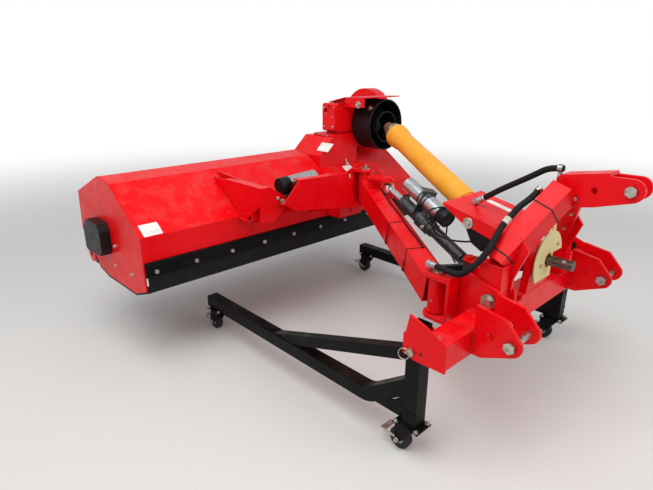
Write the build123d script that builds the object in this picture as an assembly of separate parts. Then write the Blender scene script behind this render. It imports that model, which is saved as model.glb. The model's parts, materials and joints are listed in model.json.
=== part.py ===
from build123d import *
import math
import os

# Offset flail mower on its parking stand, in millimetres.
# Machine frame while building: X to the machine's right, Y forward to the tractor, Z up,
# zero on the ground under the middle of the lower hitch pins. The written parts are moved
# so that the origin is the middle of the machine's footprint.

os.makedirs("parts", exist_ok=True)

# Fits
RUNNING = 0.05
FACE_GAP = 0.3

# Three-point hitch
LOWER_PIN_SPACING = 680.0
LOWER_PIN_Z = 431.0
LOWER_PIN_D = 22.0
LOWER_PLATE_GAP = 98.0
PLATE_T = 12.0
LOWER_NOSE_R = 32.0
LOWER_PLATE_TOP_Z = 519.0
TOP_PIN_Y = 120.0
TOP_PIN_Z = 831.0
TOP_PIN_D = 19.0
TOP_CLEVIS_GAP = 52.0
TOP_NOSE_R = 34.0

# Crossbeam, mast and the posts' sockets
BEAM_SIZE = 80.0
BEAM_WALL = 5.0
BEAM_Y = -155.0
BEAM_TOP_Z = 440.0
LEG_FOOT_X = 229.0
LEG_WIDTH = 66.0
LEG_DEPTH = 76.0
LEG_KNEE_Z = 590.0
LEG_TOP_X = 50.0
LEG_TOP_Y = -55.0
LEG_TOP_Z = 805.0

# Stand
POST_SIZE = 50.0
POST_WALL = 3.0
POST_X = 515.0
POST_Y = -222.0
POST_TOP_Z = 462.0
RAIL_BOTTOM_Z = 112.0
RAIL_REAR_Y = -1375.0
RAIL_BEND_Y = -395.0
BRACE_LOW_Y = -905.0
BRACE_TOP_Z = 385.0
SOCKET_WALL = 7.0
SOCKET_CLEARANCE = 1.0
SOCKET_BOTTOM_Z = 355.0
SOCKET_TOP_Z = 446.0
STAND_PIN_D = 14.0

# Casters
WHEEL_D = 75.0
WHEEL_W = 26.0
CASTER_TRAIL = 36.0
CASTER_PLATE_X = 74.0
CASTER_PLATE_Y = 96.0
CASTER_PLATE_T = 5.0
REAR_CASTER_Y = -1320.0

# Input bearing and drive line
INPUT_Z = 557.0
INPUT_D = 35.0
STUB_TIP_Y = -10.0
CASE_FRONT_Y = -96.0
CASE_REAR_Y = -142.0
JOINT_Y = -190.0
REAR_JOINT = (-490.0, -1200.0, 860.0)
GUARD_D = 84.0
GUARD_WALL = 3.0
GUARD_SLIDE = 1.0
GUARD_OUTER_D = GUARD_D + 2 * (GUARD_SLIDE + GUARD_WALL + 2)
REAR_CONE_D = 116.0
FRONT_CONE_D = 96.0
FRONT_CONE_FROM = 92.0

# Swing arm and parallel link: both rise to the rear
ARM_FRONT = (290.0, -320.0, 450.0)
ARM_REAR = (-105.0, -1004.0, 632.0)
LINK_OFFSET = (-134.0, 8.0, -80.0)
ARM_WIDTH = 70.0
ARM_DEPTH = 98.0
ARM_WALL = 5.0
ARM_PIN_D = 30.0
ARM_BOSS_D = 60.0
ARM_BOSS_FRONT = 124.0
ARM_BOSS_REAR = 140.0
LINK_PIN_D = 20.0
LINK_BOSS_D = 46.0
LINK_BOSS_L = 54.0
LINK_SIZE = 40.0
HINGE_PLATE_T = 12.0
HINGE_PLATE_GAP = 3.0

# Slide actuator, its eyes turn on a slightly leaning axis
SLIDE_ROOT = (69.0, -336.0, 486.0)
SLIDE_TIP = (-51.6, -820.8, 669.0)
SLIDE_AXIS = (0.1123, -0.009, 0.9936)
SLIDE_HOUSE = 246.0
SLIDE_BARREL_END = 425.0
EYE_D = 44.0
EYE_T = 30.0
EYE_PIN_D = 16.0
LUG_GAP = 9.0
ROOT_LUG_GAP = 7.0
TIP_LUG_GAP = 14.0
LUG_T = 10.0
ROOT_LUG_T = 8.0
ROOT_LUG_R = 22.0
ROD_D = 30.0
SLIDE_BORE_FROM = 58.0
SLIDE_ROD_FROM = 70.0
TILT_BORE_FROM = 44.0
TILT_ROD_FROM = 84.0
MOTOR_D = 62.0

# Tilt pivot and tilt actuator, in the X-Z plane
TILT_X = -110.0
TILT_Z = 560.0
TILT_PIN_D = 36.0
TILT_Y = -1080.0
TILT_OUTER = (353.0, 636.0)
TILT_INNER = (-94.0, 664.0)

# Deck
DECK_OUTER_X = 897.0
DECK_INNER_X = -709.0
BULKHEAD_X = -630.0
SHEET_T = 5.0
END_T = 6.0
FRONT_Y = -1196.0
FRONT_BOTTOM_Z = 455.0
FRONT_TOP_Z = 563.0
HOOD_POINTS = [
    (FRONT_Y, FRONT_BOTTOM_Z),
    (FRONT_Y, FRONT_TOP_Z),
    (-1346.0, 669.0),
    (-1430.0, 728.0),
    (-1547.0, 740.0),
    (-1789.0, 641.0),
    (-1805.0, 464.0),
]
SKID_POINTS = [(-1690.0, 430.0), (-1690.0, 385.0), (-1650.0, 330.0), (-1560.0, 312.0), (-1290.0, 316.0)]
SKID_FRONT_Z = 352.0
SKID_T = 8.0
SKID_W = 30.0
ROTOR_Y = -1560.0
ROTOR_Z = 490.0
ROTOR_TUBE_D = 90.0
ROTOR_STUB_D = 40.0
FLAIL_TIP_R = 130.0
FLAIL_COUNT = 24
ROLLER_Y = -1755.0
ROLLER_Z = 357.0
ROLLER_D = 104.0
ROLLER_AXLE_D = 26.0
FLAP_SEAMS = [890, 717, 543, 377, 211, 53, -97, -268, -437, -703]
FLAP_T = 5.0
FLAP_BOTTOM_Z = 342.0

# Gearbox, shield and belt case
GEARBOX_X0 = -600.0
GEARBOX_X1 = -262.0
GEARBOX_Y0 = -1458.0
GEARBOX_Y1 = -1354.0
GEARBOX_Z0 = 838.0
GEARBOX_Z1 = 978.0
PEDESTAL_TOP_Z = 812.0
SHIELD_X = -500.0
SHIELD_Z = 868.0
SHIELD_D = 260.0
SHIELD_REAR_Y = -1344.0
SHIELD_FRONT_Y = -1222.0
CASE_TOP_Y = -1500.0
CASE_TOP_Z = 900.0
CASE_TOP_R = 140.0
CASE_LOW_R = 110.0


def vec(p):
    return Vector(*p)


def block(x0, x1, y0, y1, z0, z1):
    """A box between two corners."""
    size = (abs(x1 - x0), abs(y1 - y0), abs(z1 - z0))
    middle = ((x0 + x1) / 2, (y0 + y1) / 2, (z0 + z1) / 2)
    return Pos(*middle) * Box(*size)


def rod(p, q, radius):
    """A solid round bar from p to q."""
    start, end = vec(p), vec(q)
    axis = end - start
    return extrude(Plane(origin=start, z_dir=axis) * Circle(radius), amount=axis.length)


def pipe(p, q, outer, inner):
    """A round tube from p to q."""
    start, end = vec(p), vec(q)
    axis = end - start
    ring = Circle(outer) - Circle(inner)
    return extrude(Plane(origin=start, z_dir=axis) * ring, amount=axis.length)


def beam(p, q, width, depth, wall=0.0, side=(1, 0, 0)):
    """A bar of rectangular section from p to q: width lies along side."""
    start, end = vec(p), vec(q)
    axis = end - start
    plane = Plane(origin=start, x_dir=vec(side), z_dir=axis)
    section = Rectangle(width, depth)
    if wall:
        section -= Rectangle(width - 2 * wall, depth - 2 * wall)
    return extrude(plane * section, amount=axis.length)


def plate_x(sketch, x, thickness):
    """A plate in the Y-Z plane that fills x to x + thickness."""
    return extrude(Plane.YZ.offset(x) * sketch, amount=thickness, dir=(1, 0, 0))


def plate_y(sketch, y, thickness):
    """A plate in the X-Z plane that fills y - thickness to y."""
    plane = Plane(origin=(0, y, 0), x_dir=(1, 0, 0), z_dir=(0, -1, 0))
    return extrude(plane * sketch, amount=thickness, dir=(0, -1, 0))


def plate_z(sketch, z, thickness):
    """A plate in the X-Y plane that fills z to z + thickness."""
    return extrude(Plane.XY.offset(z) * sketch, amount=thickness, dir=(0, 0, 1))


def outline(*points):
    return Polygon(*points, align=None)


def disc(centre, radius):
    return Pos(centre[0], centre[1]) * Circle(radius)


def hull(*sketches):
    """The tight outline round several sketches."""
    edges = []
    for sketch in sketches:
        edges += list(sketch.edges())
    return make_hull(edges)


def hex_pin(p, q, diameter, head, head_t):
    """A pin from p to q with a hexagon head outside p and a nut outside q."""
    start, end = vec(p), vec(q)
    way = (end - start).normalized()
    shank = rod(p, q, diameter / 2)
    low = extrude(Plane(origin=start - way * head_t, z_dir=way) * RegularPolygon(head, 6), amount=head_t)
    high = extrude(Plane(origin=end, z_dir=way) * RegularPolygon(head, 6), amount=head_t)
    return shank + low + high


# Hitch frame

LOWER_PIN_X = LOWER_PIN_SPACING / 2
BEAM_BOTTOM_Z = BEAM_TOP_Z - BEAM_SIZE
BEAM_FRONT_Y = BEAM_Y + BEAM_SIZE / 2
BEAM_REAR_Y = BEAM_Y - BEAM_SIZE / 2
SOCKET_IN = POST_SIZE / 2 + SOCKET_CLEARANCE
SOCKET_OUT = SOCKET_IN + SOCKET_WALL
STAND_PIN_Z = SOCKET_BOTTOM_Z + 24


def crossbeam():
    """The square tube across the hitch with a pocket behind each end for the stand's post."""
    end = POST_X + SOCKET_IN
    middle = BEAM_TOP_Z - BEAM_SIZE / 2
    bar = beam((-end, BEAM_Y, middle), (end, BEAM_Y, middle), BEAM_SIZE, BEAM_SIZE, BEAM_WALL, side=(0, 1, 0))
    rear = POST_Y - SOCKET_IN
    for side in (-1, 1):
        x = side * POST_X
        outer = outline(
            (BEAM_FRONT_Y + 6, BEAM_BOTTOM_Z - 2),
            (BEAM_FRONT_Y + 6, BEAM_TOP_Z + 4),
            (-185, 478),
            (-236, 496),
            (rear - SOCKET_WALL, 400),
            (rear - SOCKET_WALL, BEAM_BOTTOM_Z + 6),
            (-212, BEAM_BOTTOM_Z - 4),
        )
        near, far = sorted((x + side * SOCKET_IN, x + side * SOCKET_OUT))
        wall = plate_x(outer, near, far - near)
        back = block(x - SOCKET_OUT, x + SOCKET_OUT, rear - SOCKET_WALL, rear, SOCKET_BOTTOM_Z + 36, 432)
        x0, x1 = x - side * SOCKET_IN, x - side * SOCKET_OUT
        inner = block(x0, x1, rear, BEAM_REAR_Y, SOCKET_BOTTOM_Z, SOCKET_TOP_Z)
        bar = bar.fuse(wall, back, inner)
        bar -= rod((x - 80, POST_Y, STAND_PIN_Z), (x + 80, POST_Y, STAND_PIN_Z), STAND_PIN_D / 2 + 0.5)
    return bar


def hitch_plate_sketch():
    rear = BEAM_FRONT_Y
    nose = disc((0, LOWER_PIN_Z), LOWER_NOSE_R)
    root = outline(
        (rear, BEAM_BOTTOM_Z),
        (rear, LOWER_PLATE_TOP_Z),
        (rear + 93, LOWER_PLATE_TOP_Z - 16),
        (rear + 30, BEAM_BOTTOM_Z),
    )
    hole = disc((-62, LOWER_PIN_Z + 6), 11)
    return hull(nose, root) - disc((0, LOWER_PIN_Z), LOWER_PIN_D / 2 + RUNNING) - hole


def hitch_plates():
    sketch = hitch_plate_sketch()
    plates = []
    for side in (-1, 1):
        for offset in (-LOWER_PLATE_GAP / 2 - PLATE_T, LOWER_PLATE_GAP / 2):
            plates.append(plate_x(sketch, side * LOWER_PIN_X + offset, PLATE_T))
    return Compound(children=plates)


def hitch_pins():
    reach = LOWER_PLATE_GAP / 2 + PLATE_T + FACE_GAP
    pins = []
    for side in (-1, 1):
        middle = side * LOWER_PIN_X
        inner, outer = (middle - reach, 0, LOWER_PIN_Z), (middle + reach, 0, LOWER_PIN_Z)
        pins.append(hex_pin(inner, outer, LOWER_PIN_D, 18, 13))
    return Compound(children=pins)


def mast():
    """Two box legs that lean together to the top-link plates."""
    pieces = []
    for side in (-1, 1):
        foot = (side * LEG_FOOT_X, BEAM_Y, BEAM_TOP_Z)
        knee = (side * LEG_FOOT_X, BEAM_Y, LEG_KNEE_Z)
        top = (side * LEG_TOP_X, LEG_TOP_Y, LEG_TOP_Z)
        pieces.append(beam(foot, knee, LEG_WIDTH, LEG_DEPTH))
        pieces.append(beam(knee, top, LEG_WIDTH, LEG_DEPTH, side=(0, 1, 0)))
        foot, knee = (BEAM_FRONT_Y, BEAM_TOP_Z), (BEAM_FRONT_Y + 8, 545)
        gusset = outline(foot, knee, (-70, 640), (-100, 680), (-140, 600))
        pieces.append(plate_x(gusset, side * (LEG_FOOT_X - LEG_WIDTH / 2 + 6) - PLATE_T / 2, PLATE_T))
    inner = TOP_CLEVIS_GAP / 2
    nose = disc((TOP_PIN_Y, TOP_PIN_Z), TOP_NOSE_R)
    root = outline((-82, 744), (-82, 842), (40, 864), (30, 768))
    ear = hull(nose, root)
    ear -= disc((TOP_PIN_Y, TOP_PIN_Z), TOP_PIN_D / 2 + RUNNING)
    ear -= disc((22, 816), 10)
    for x in (-inner - PLATE_T, inner):
        pieces.append(plate_x(ear, x, PLATE_T))
    body = pieces[0].fuse(*pieces[1:])
    body -= block(-inner, inner, -200, 200, 700, 900)
    reach = inner + PLATE_T
    cover = plate_x(outline((-82, 841), (-82, 849), (56, 873), (60, 864)), -reach, 2 * reach)
    return body.fuse(block(-inner - PLATE_T, inner + PLATE_T, -90, -45, 744, 842), cover)


def top_link_pin():
    reach = TOP_CLEVIS_GAP / 2 + PLATE_T + FACE_GAP
    return hex_pin((-reach, TOP_PIN_Y, TOP_PIN_Z), (reach, TOP_PIN_Y, TOP_PIN_Z), TOP_PIN_D, 17, 12)


def bearing_housing():
    """The input shaft's bearing on its foot on the crossbeam."""
    face = hull(disc((0, INPUT_Z), 60), outline((-78, BEAM_TOP_Z), (78, BEAM_TOP_Z), (78, 452), (-78, 452)))
    body = plate_y(face, CASE_FRONT_Y - 20, CASE_FRONT_Y - 20 - CASE_REAR_Y)
    foot = block(-110, 110, BEAM_REAR_Y + 4, BEAM_FRONT_Y, BEAM_TOP_Z, BEAM_TOP_Z + 12)
    front_boss = rod((0, CASE_FRONT_Y - 21, INPUT_Z), (0, CASE_FRONT_Y, INPUT_Z), 36)
    tab = block(-26, 26, CASE_REAR_Y + 6, -197, 606, 616)
    body = body.fuse(foot, front_boss, tab)
    return body - rod((0, -60, INPUT_Z), (0, -240, INPUT_Z), INPUT_D / 2 + RUNNING)


def spline_sketch(radius, teeth=6):
    """The six-tooth shaft end."""
    face = Circle(radius)
    for i in range(teeth):
        angle = 360 / teeth * i
        face -= Rot(0, 0, angle) * (Pos(radius, 0) * Rectangle(6, 8))
    return face


def input_shaft():
    """The splined tractor end, its journal and the front half of the universal joint."""
    plane = Plane(origin=(0, CASE_FRONT_Y + 8, INPUT_Z), x_dir=(1, 0, 0), z_dir=(0, 1, 0))
    stub = extrude(plane * spline_sketch(INPUT_D / 2), amount=STUB_TIP_Y - CASE_FRONT_Y - 8)
    journal = rod((0, CASE_REAR_Y - 1, INPUT_Z), (0, CASE_FRONT_Y + 8, INPUT_Z), INPUT_D / 2)
    hub = rod((0, CASE_REAR_Y - 1, INPUT_Z), (0, CASE_REAR_Y - 12, INPUT_Z), 32)
    return stub.fuse(journal, hub)


def input_shield_plate():
    """The pale crescent round the input shaft, with its ear."""
    outer = disc((0, INPUT_Z), 100)
    inner = disc((0, INPUT_Z), 24)
    face = outer - inner
    face -= outline((-140, INPUT_Z - 140), (140, INPUT_Z - 140), (140, INPUT_Z - 62), (-140, INPUT_Z - 62))
    face -= outline((-140, INPUT_Z - 140), (-30, INPUT_Z - 140), (-30, INPUT_Z + 20), (-140, INPUT_Z + 20))
    face += outline((-30, INPUT_Z + 86), (26, INPUT_Z + 86), (20, INPUT_Z + 122), (-24, INPUT_Z + 122))
    face -= disc((0, INPUT_Z + 108), 6)
    return plate_y(face, CASE_FRONT_Y + 4, 4)


COVER_HALF = 128.0


def joint_cover():
    """The red sheet roof over the front universal joint."""
    rear, front = -430.0, -200.0
    outer = outline((front, 560), (front, 650), (-240, 668), (rear, 712), (rear, 600))
    inner = outline((front - 4, 500), (front - 4, 645.5), (-241, 663.5), (rear - 9, 710), (rear - 9, 500))
    body = plate_x(outer - inner, -COVER_HALF, 2 * COVER_HALF)
    right = outline((front, 610), (front, 650), (-240, 668), (rear, 712), (rear, 704), (-350, 655))
    left = outline((front, 610), (front, 650), (-240, 668), (-330, 690), (-330, 655))
    body = body.fuse(plate_x(right, COVER_HALF - 4, 4), plate_x(left, -COVER_HALF, 4))
    return body - rod((0, -150, INPUT_Z), (0, -260, INPUT_Z), 42)


def joint_skirts():
    """Rubber skirts that hang inside the cover's two sides."""
    reach = COVER_HALF - 4 - FACE_GAP - 5
    right = outline((-215, 585), (-215, 636), (-335, 669), (-335, 640), (-310, 592), (-270, 570))
    left = outline((-215, 585), (-215, 636), (-305, 662), (-305, 605), (-270, 580))
    return Compound(children=[plate_x(right, reach, 5), plate_x(left, -reach - 5, 5)])


CARRIER_PIN = (-143.0, 480.0)
LEG_FACE = LEG_FOOT_X + LEG_WIDTH / 2
CARRIER_WEB_Y = -248.0


def ends_of(front, rear, front_length, rear_length):
    """The two boss spans, low and high, of a member with upright pivots."""
    return [
        (front, front[2] - front_length / 2, front[2] + front_length / 2),
        (rear, rear[2] - rear_length / 2, rear[2] + rear_length / 2),
    ]


LINK_FRONT = tuple(a + b for a, b in zip(ARM_FRONT, LINK_OFFSET))
LINK_REAR = tuple(a + b for a, b in zip(ARM_REAR, LINK_OFFSET))
ARM_ENDS = ends_of(ARM_FRONT, ARM_REAR, ARM_BOSS_FRONT, ARM_BOSS_REAR)
LINK_ENDS = ends_of(LINK_FRONT, LINK_REAR, LINK_BOSS_L, LINK_BOSS_L)


def hinge_plates(spot, low, high, radius, root, pin):
    """The plates above and below a boss, run back to root, with the pin's bores."""
    shape = hull(disc(spot, radius), root) - disc(spot, pin / 2 + RUNNING)
    return [
        plate_z(shape, high + HINGE_PLATE_GAP, HINGE_PLATE_T),
        plate_z(shape, low - HINGE_PLATE_GAP - HINGE_PLATE_T, HINGE_PLATE_T),
    ]


def pivot_pin(spot, low, high, diameter):
    """An upright pin with a flat head on the upper plate and a collar below the lower one."""
    top = high + HINGE_PLATE_GAP + HINGE_PLATE_T + FACE_GAP
    bottom = low - HINGE_PLATE_GAP - HINGE_PLATE_T - FACE_GAP
    x, y = spot[0], spot[1]
    pin = rod((x, y, bottom), (x, y, top), diameter / 2)
    head = rod((x, y, top), (x, y, top + 7), diameter / 2 + 7)
    collar = rod((x, y, bottom), (x, y, bottom - 7), diameter / 2 + 5)
    return pin.fuse(head, collar)


def fork(spot, axis, root, gap=LUG_GAP, thick=LUG_T, spread=26.0):
    """Two lug plates above and below an eye, square to its axis, run back to root."""
    plane = Plane(origin=vec(spot), x_dir=Vector(0, 1, 0).cross(vec(axis)), z_dir=vec(axis))
    local = [plane.to_local_coords(vec(p)) for p in root]
    shape = hull(Circle(spread), outline(*[(p.X, p.Y) for p in local]))
    half = EYE_T / 2 + gap
    upper = extrude(plane.offset(half) * shape, amount=thick)
    lower = extrude(plane.offset(-half - thick) * shape, amount=thick)
    cap_up = extrude(plane.offset(half + thick - 0.5) * Circle(15), amount=7)
    cap_low = extrude(plane.offset(-half - thick - 6.5) * Circle(15), amount=7)
    return [upper, lower, cap_up, cap_low]


def arm_carrier():
    """The bracket on the right leg and the crossbeam that the arm and the link turn on."""
    web_front, web_rear = CARRIER_WEB_Y, CARRIER_WEB_Y - HINGE_PLATE_T
    nose = disc(CARRIER_PIN, 44)
    tail = outline((web_rear, 372), (web_rear, 535), (web_front + 30, 548), (web_front + 30, 372))
    cheek = hull(nose, tail) - disc(CARRIER_PIN, 17.5 + RUNNING)
    inner_x = LEG_FOOT_X - LEG_WIDTH / 2 - PLATE_T - FACE_GAP
    cheeks = [plate_x(cheek, x, PLATE_T) for x in (LEG_FACE + FACE_GAP, inner_x)]
    low = LINK_ENDS[0][1] - HINGE_PLATE_GAP - HINGE_PLATE_T
    web = block(112, 336, web_rear, web_front, low, 535).fuse(block(20, 112, web_rear, web_front, low, 519))
    arm_root = outline((240, web_front), (336, web_front), (336, web_rear), (240, web_rear))
    link_root = outline((112, web_front), (200, web_front), (200, web_rear), (112, web_rear))
    plates = hinge_plates(*ARM_ENDS[0], 42, arm_root, ARM_PIN_D)
    plates += hinge_plates(*LINK_ENDS[0], 32, link_root, LINK_PIN_D)
    lug_z = SLIDE_ROOT[2]
    root = [(30, web_rear, lug_z), (108, web_rear, lug_z), (108, web_front, lug_z), (30, web_front, lug_z)]
    lugs = fork(SLIDE_ROOT, SLIDE_AXIS, root, ROOT_LUG_GAP, ROOT_LUG_T, ROOT_LUG_R)
    body = web.fuse(*cheeks, *plates, *lugs)
    body -= block(0, 400, BEAM_REAR_Y - FACE_GAP, 0, 300, BEAM_TOP_Z + FACE_GAP)
    leg_clear = LEG_DEPTH / 2 + FACE_GAP
    return body - block(inner_x + PLATE_T, LEG_FACE + FACE_GAP, BEAM_Y - leg_clear, 60, 300, 640)


def carrier_pins():
    """The big cross pin of the bracket and the two upright pivot pins."""
    y, z = CARRIER_PIN
    face = LEG_FACE + FACE_GAP + PLATE_T
    head = rod((face + FACE_GAP, y, z), (face + 10, y, z), 24)
    nut = extrude(Plane(origin=(face + 10, y, z), z_dir=(1, 0, 0)) * RegularPolygon(18, 6), amount=12)
    shank = rod((LEG_FACE + 1, y, z), (face + 2, y, z), 17.5)
    uprights = [pivot_pin(*ARM_ENDS[0], ARM_PIN_D), pivot_pin(*LINK_ENDS[0], LINK_PIN_D)]
    return Compound(children=[head.fuse(nut, shank), *uprights])


# Stand and casters

RAIL_TOP_Z = RAIL_BOTTOM_Z + POST_SIZE


def stand(side):
    """A post, a floor rail bent up into it and a brace of square tube, with caster plates."""
    x = side * POST_X
    tube = (POST_SIZE, POST_SIZE, POST_WALL)
    rail_z = RAIL_BOTTOM_Z + POST_SIZE / 2
    post = beam((x, POST_Y, RAIL_BOTTOM_Z), (x, POST_Y, POST_TOP_Z), *tube)
    path = FilletPolyline(
        (x, RAIL_REAR_Y, rail_z), (x, RAIL_BEND_Y, rail_z), (x, POST_Y - 6, rail_z + 118), radius=90
    )
    ring = Rectangle(POST_SIZE, POST_SIZE) - Rectangle(POST_SIZE - 2 * POST_WALL, POST_SIZE - 2 * POST_WALL)
    rail = sweep(Plane(origin=(x, RAIL_REAR_Y, rail_z), x_dir=(1, 0, 0), z_dir=(0, 1, 0)) * ring, path=path)
    rail -= block(x - 60, x + 60, POST_Y - POST_SIZE / 2, POST_Y + 90, 0, 500)
    half = POST_SIZE / 2
    cap = block(x - half, x + half, RAIL_REAR_Y - 3, RAIL_REAR_Y, RAIL_BOTTOM_Z, RAIL_TOP_Z)
    size = 40.0
    brace = beam((x, BRACE_LOW_Y, rail_z), (x, POST_Y, BRACE_TOP_Z - 20), size, size, POST_WALL)
    brace -= block(x - 60, x + 60, POST_Y - half, POST_Y + 60, 0, 600)
    brace -= block(x - 60, x + 60, -2000, 0, 0, RAIL_TOP_Z)
    gusset = outline(
        (RAIL_BEND_Y - 20, RAIL_BOTTOM_Z), (POST_Y - half, RAIL_BOTTOM_Z), (POST_Y - half, 205), (-300, 160)
    )
    rib = plate_x(gusset, x - 3, 6)
    plates = []
    for y in (POST_Y - 6, REAR_CASTER_Y):
        half_x, half_y = CASTER_PLATE_X / 2, CASTER_PLATE_Y / 2
        plates.append(
            block(x - half_x, x + half_x, y - half_y, y + half_y, RAIL_BOTTOM_Z - CASTER_PLATE_T, RAIL_BOTTOM_Z)
        )
    body = post.fuse(rail, cap, brace, rib, *plates)
    return body - rod((x - 60, POST_Y, STAND_PIN_Z), (x + 60, POST_Y, STAND_PIN_Z), STAND_PIN_D / 2 + RUNNING)


def stand_pins():
    """The two pins through socket and post, each with its collar."""
    pins = []
    for side in (-1, 1):
        x = side * POST_X
        inner, outer = x - side * (SOCKET_OUT + 12), x + side * (SOCKET_OUT + 8)
        shank = rod((inner, POST_Y, STAND_PIN_Z), (outer, POST_Y, STAND_PIN_Z), STAND_PIN_D / 2)
        collar = rod((x + side * (SOCKET_OUT + FACE_GAP), POST_Y, STAND_PIN_Z), (outer, POST_Y, STAND_PIN_Z), 11)
        pins.append(shank.fuse(collar))
    return Compound(children=pins)


CASTER_SPOTS = [
    ("right_front", POST_X, POST_Y - 6),
    ("left_front", -POST_X, POST_Y - 6),
    ("right_rear", POST_X, REAR_CASTER_Y),
    ("left_rear", -POST_X, REAR_CASTER_Y),
]
CASTER_TOP_Z = RAIL_BOTTOM_Z - CASTER_PLATE_T


def caster_fork(x, y):
    """The swivel head and the two cheeks that hold the wheel, which trails behind."""
    head_top = CASTER_TOP_Z - FACE_GAP
    head = rod((x, y, head_top), (x, y, head_top - 9), 26)
    crown = block(x - 21, x + 21, y + 20, y - CASTER_TRAIL - 16, head_top - 9, head_top - 13)
    axle_z = WHEEL_D / 2
    cheek = hull(
        disc((y - CASTER_TRAIL, axle_z), 11),
        outline((y + 18, head_top - 9), (y - CASTER_TRAIL - 14, head_top - 9), (y + 18, head_top - 16)),
    )
    inner = WHEEL_W / 2 + 5
    cheeks = [plate_x(cheek, x + s, 3) for s in (-inner - 3, inner)]
    axle = rod((x - inner - 6, y - CASTER_TRAIL, axle_z), (x + inner + 6, y - CASTER_TRAIL, axle_z), 5)
    return head.fuse(crown, *cheeks, axle)


def caster_wheel(x, y):
    centre = (y - CASTER_TRAIL, WHEEL_D / 2)
    profile = Circle(WHEEL_D / 2) - Circle(5 + RUNNING)
    plane = Plane(origin=(x - WHEEL_W / 2, *centre), x_dir=(0, 1, 0), z_dir=(1, 0, 0))
    tyre = extrude(plane * profile, amount=WHEEL_W)
    outer = tyre.edges().filter_by(GeomType.CIRCLE).group_by(SortBy.RADIUS)[-1]
    return fillet(outer, 4)


# Swing arm and parallel link

ARM_RUN = vec(ARM_REAR) - vec(ARM_FRONT)
ARM_WAY = ARM_RUN.normalized()
ARM_IN = Vector(ARM_WAY.Y, -ARM_WAY.X, 0).normalized()


def member(ends, width, depth, wall, boss, pin, inset):
    """A box beam between two upright bosses."""
    start, finish = vec(ends[0][0]), vec(ends[1][0])
    way = (finish - start).normalized()
    side = (ARM_IN.X, ARM_IN.Y, 0)
    body = beam(tuple(start + way * inset), tuple(finish - way * inset), width, depth, wall, side=side)
    bosses = [rod((e[0], e[1], low), (e[0], e[1], high), boss / 2) for e, low, high in ends]
    body = body.fuse(*bosses)
    for e, low, high in ends:
        body -= rod((e[0], e[1], low - 5), (e[0], e[1], high + 5), pin / 2 + RUNNING)
    return body


def swing_arm():
    """The deep box beam with the slide rod's lug on its inner side."""
    body = member(ARM_ENDS, ARM_WIDTH, ARM_DEPTH, ARM_WALL, ARM_BOSS_D, ARM_PIN_D, ARM_BOSS_D / 2 - 4)
    flat = Vector(ARM_WAY.X, ARM_WAY.Y, 0).normalized()
    start = Vector(ARM_FRONT[0], ARM_FRONT[1], 0)
    along = (Vector(SLIDE_TIP[0], SLIDE_TIP[1], 0) - start).dot(flat)

    def spot(distance, inward, z):
        point = start + flat * distance + ARM_IN * inward
        return (point.X, point.Y, z)

    height = SLIDE_TIP[2]
    root = [spot(along + 62, -24, height), spot(along + 62, 32, height), spot(along + 86, 32, height)]
    root.append(spot(along + 86, -24, height))
    lugs = fork(SLIDE_TIP, SLIDE_AXIS, root, TIP_LUG_GAP, LUG_T, ROOT_LUG_R)
    top = height + EYE_T / 2 + TIP_LUG_GAP
    stool = plate_z(outline(*[(p[0], p[1]) for p in root]), top - 55, 58)
    return body.fuse(*lugs, stool)


def parallel_link():
    return member(LINK_ENDS, LINK_SIZE, LINK_SIZE, 4, LINK_BOSS_D, LINK_PIN_D, LINK_BOSS_D / 2 - 4)


# Yoke between arm and deck

WEB_Y = -1041.0
WEB_T = 12.0
BOSS_Y0 = WEB_Y - WEB_T - 19.0


def yoke():
    """The upright hinge's plates, the web behind them and the rod's lug."""
    arm_low = ARM_ENDS[1][1] - HINGE_PLATE_GAP - HINGE_PLATE_T
    arm_high = ARM_ENDS[1][2] + HINGE_PLATE_GAP + HINGE_PLATE_T
    link_low = LINK_ENDS[1][1] - HINGE_PLATE_GAP - HINGE_PLATE_T
    rear = WEB_Y - WEB_T
    arm_root = outline((-160, WEB_Y), (-60, WEB_Y), (-60, rear), (-160, rear))
    link_root = outline((-285, WEB_Y), (-195, WEB_Y), (-195, rear), (-285, rear))
    plates = hinge_plates(*ARM_ENDS[1], 40, arm_root, ARM_PIN_D)
    plates += hinge_plates(*LINK_ENDS[1], 32, link_root, LINK_PIN_D)
    face = outline((-290, link_low), (-290, 640), (-200, arm_high), (-56, arm_high), (-56, link_low))
    web = plate_y(face, WEB_Y, WEB_T)
    px, pz = TILT_INNER
    lug_rear = TILT_Y - EYE_T / 2 - LUG_GAP
    lug = hull(disc((px, pz), 26), outline((-180, 620), (-160, 620), (-160, 715), (-180, 715)))
    rear_lug = plate_y(lug, lug_rear, LUG_T)
    bridge = block(-185, -150, WEB_Y - 2, lug_rear - LUG_T, 622, 713)
    cap = rod((px, lug_rear - LUG_T + 0.5, pz), (px, lug_rear - LUG_T - 6, pz), 14)
    return web.fuse(*plates, rear_lug, bridge, cap)


def yoke_pins():
    """The two upright pivot pins at the rear and the pin that the deck tilts on."""
    rear = WEB_Y - WEB_T
    pin = rod((TILT_X, rear, TILT_Z), (TILT_X, -1186, TILT_Z), TILT_PIN_D / 2)
    collar = rod((TILT_X, rear, TILT_Z), (TILT_X, BOSS_Y0 + 5, TILT_Z), 30)
    uprights = [pivot_pin(*ARM_ENDS[1], ARM_PIN_D), pivot_pin(*LINK_ENDS[1], LINK_PIN_D)]
    return Compound(children=[pin.fuse(collar), *uprights])


# Actuators


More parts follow.
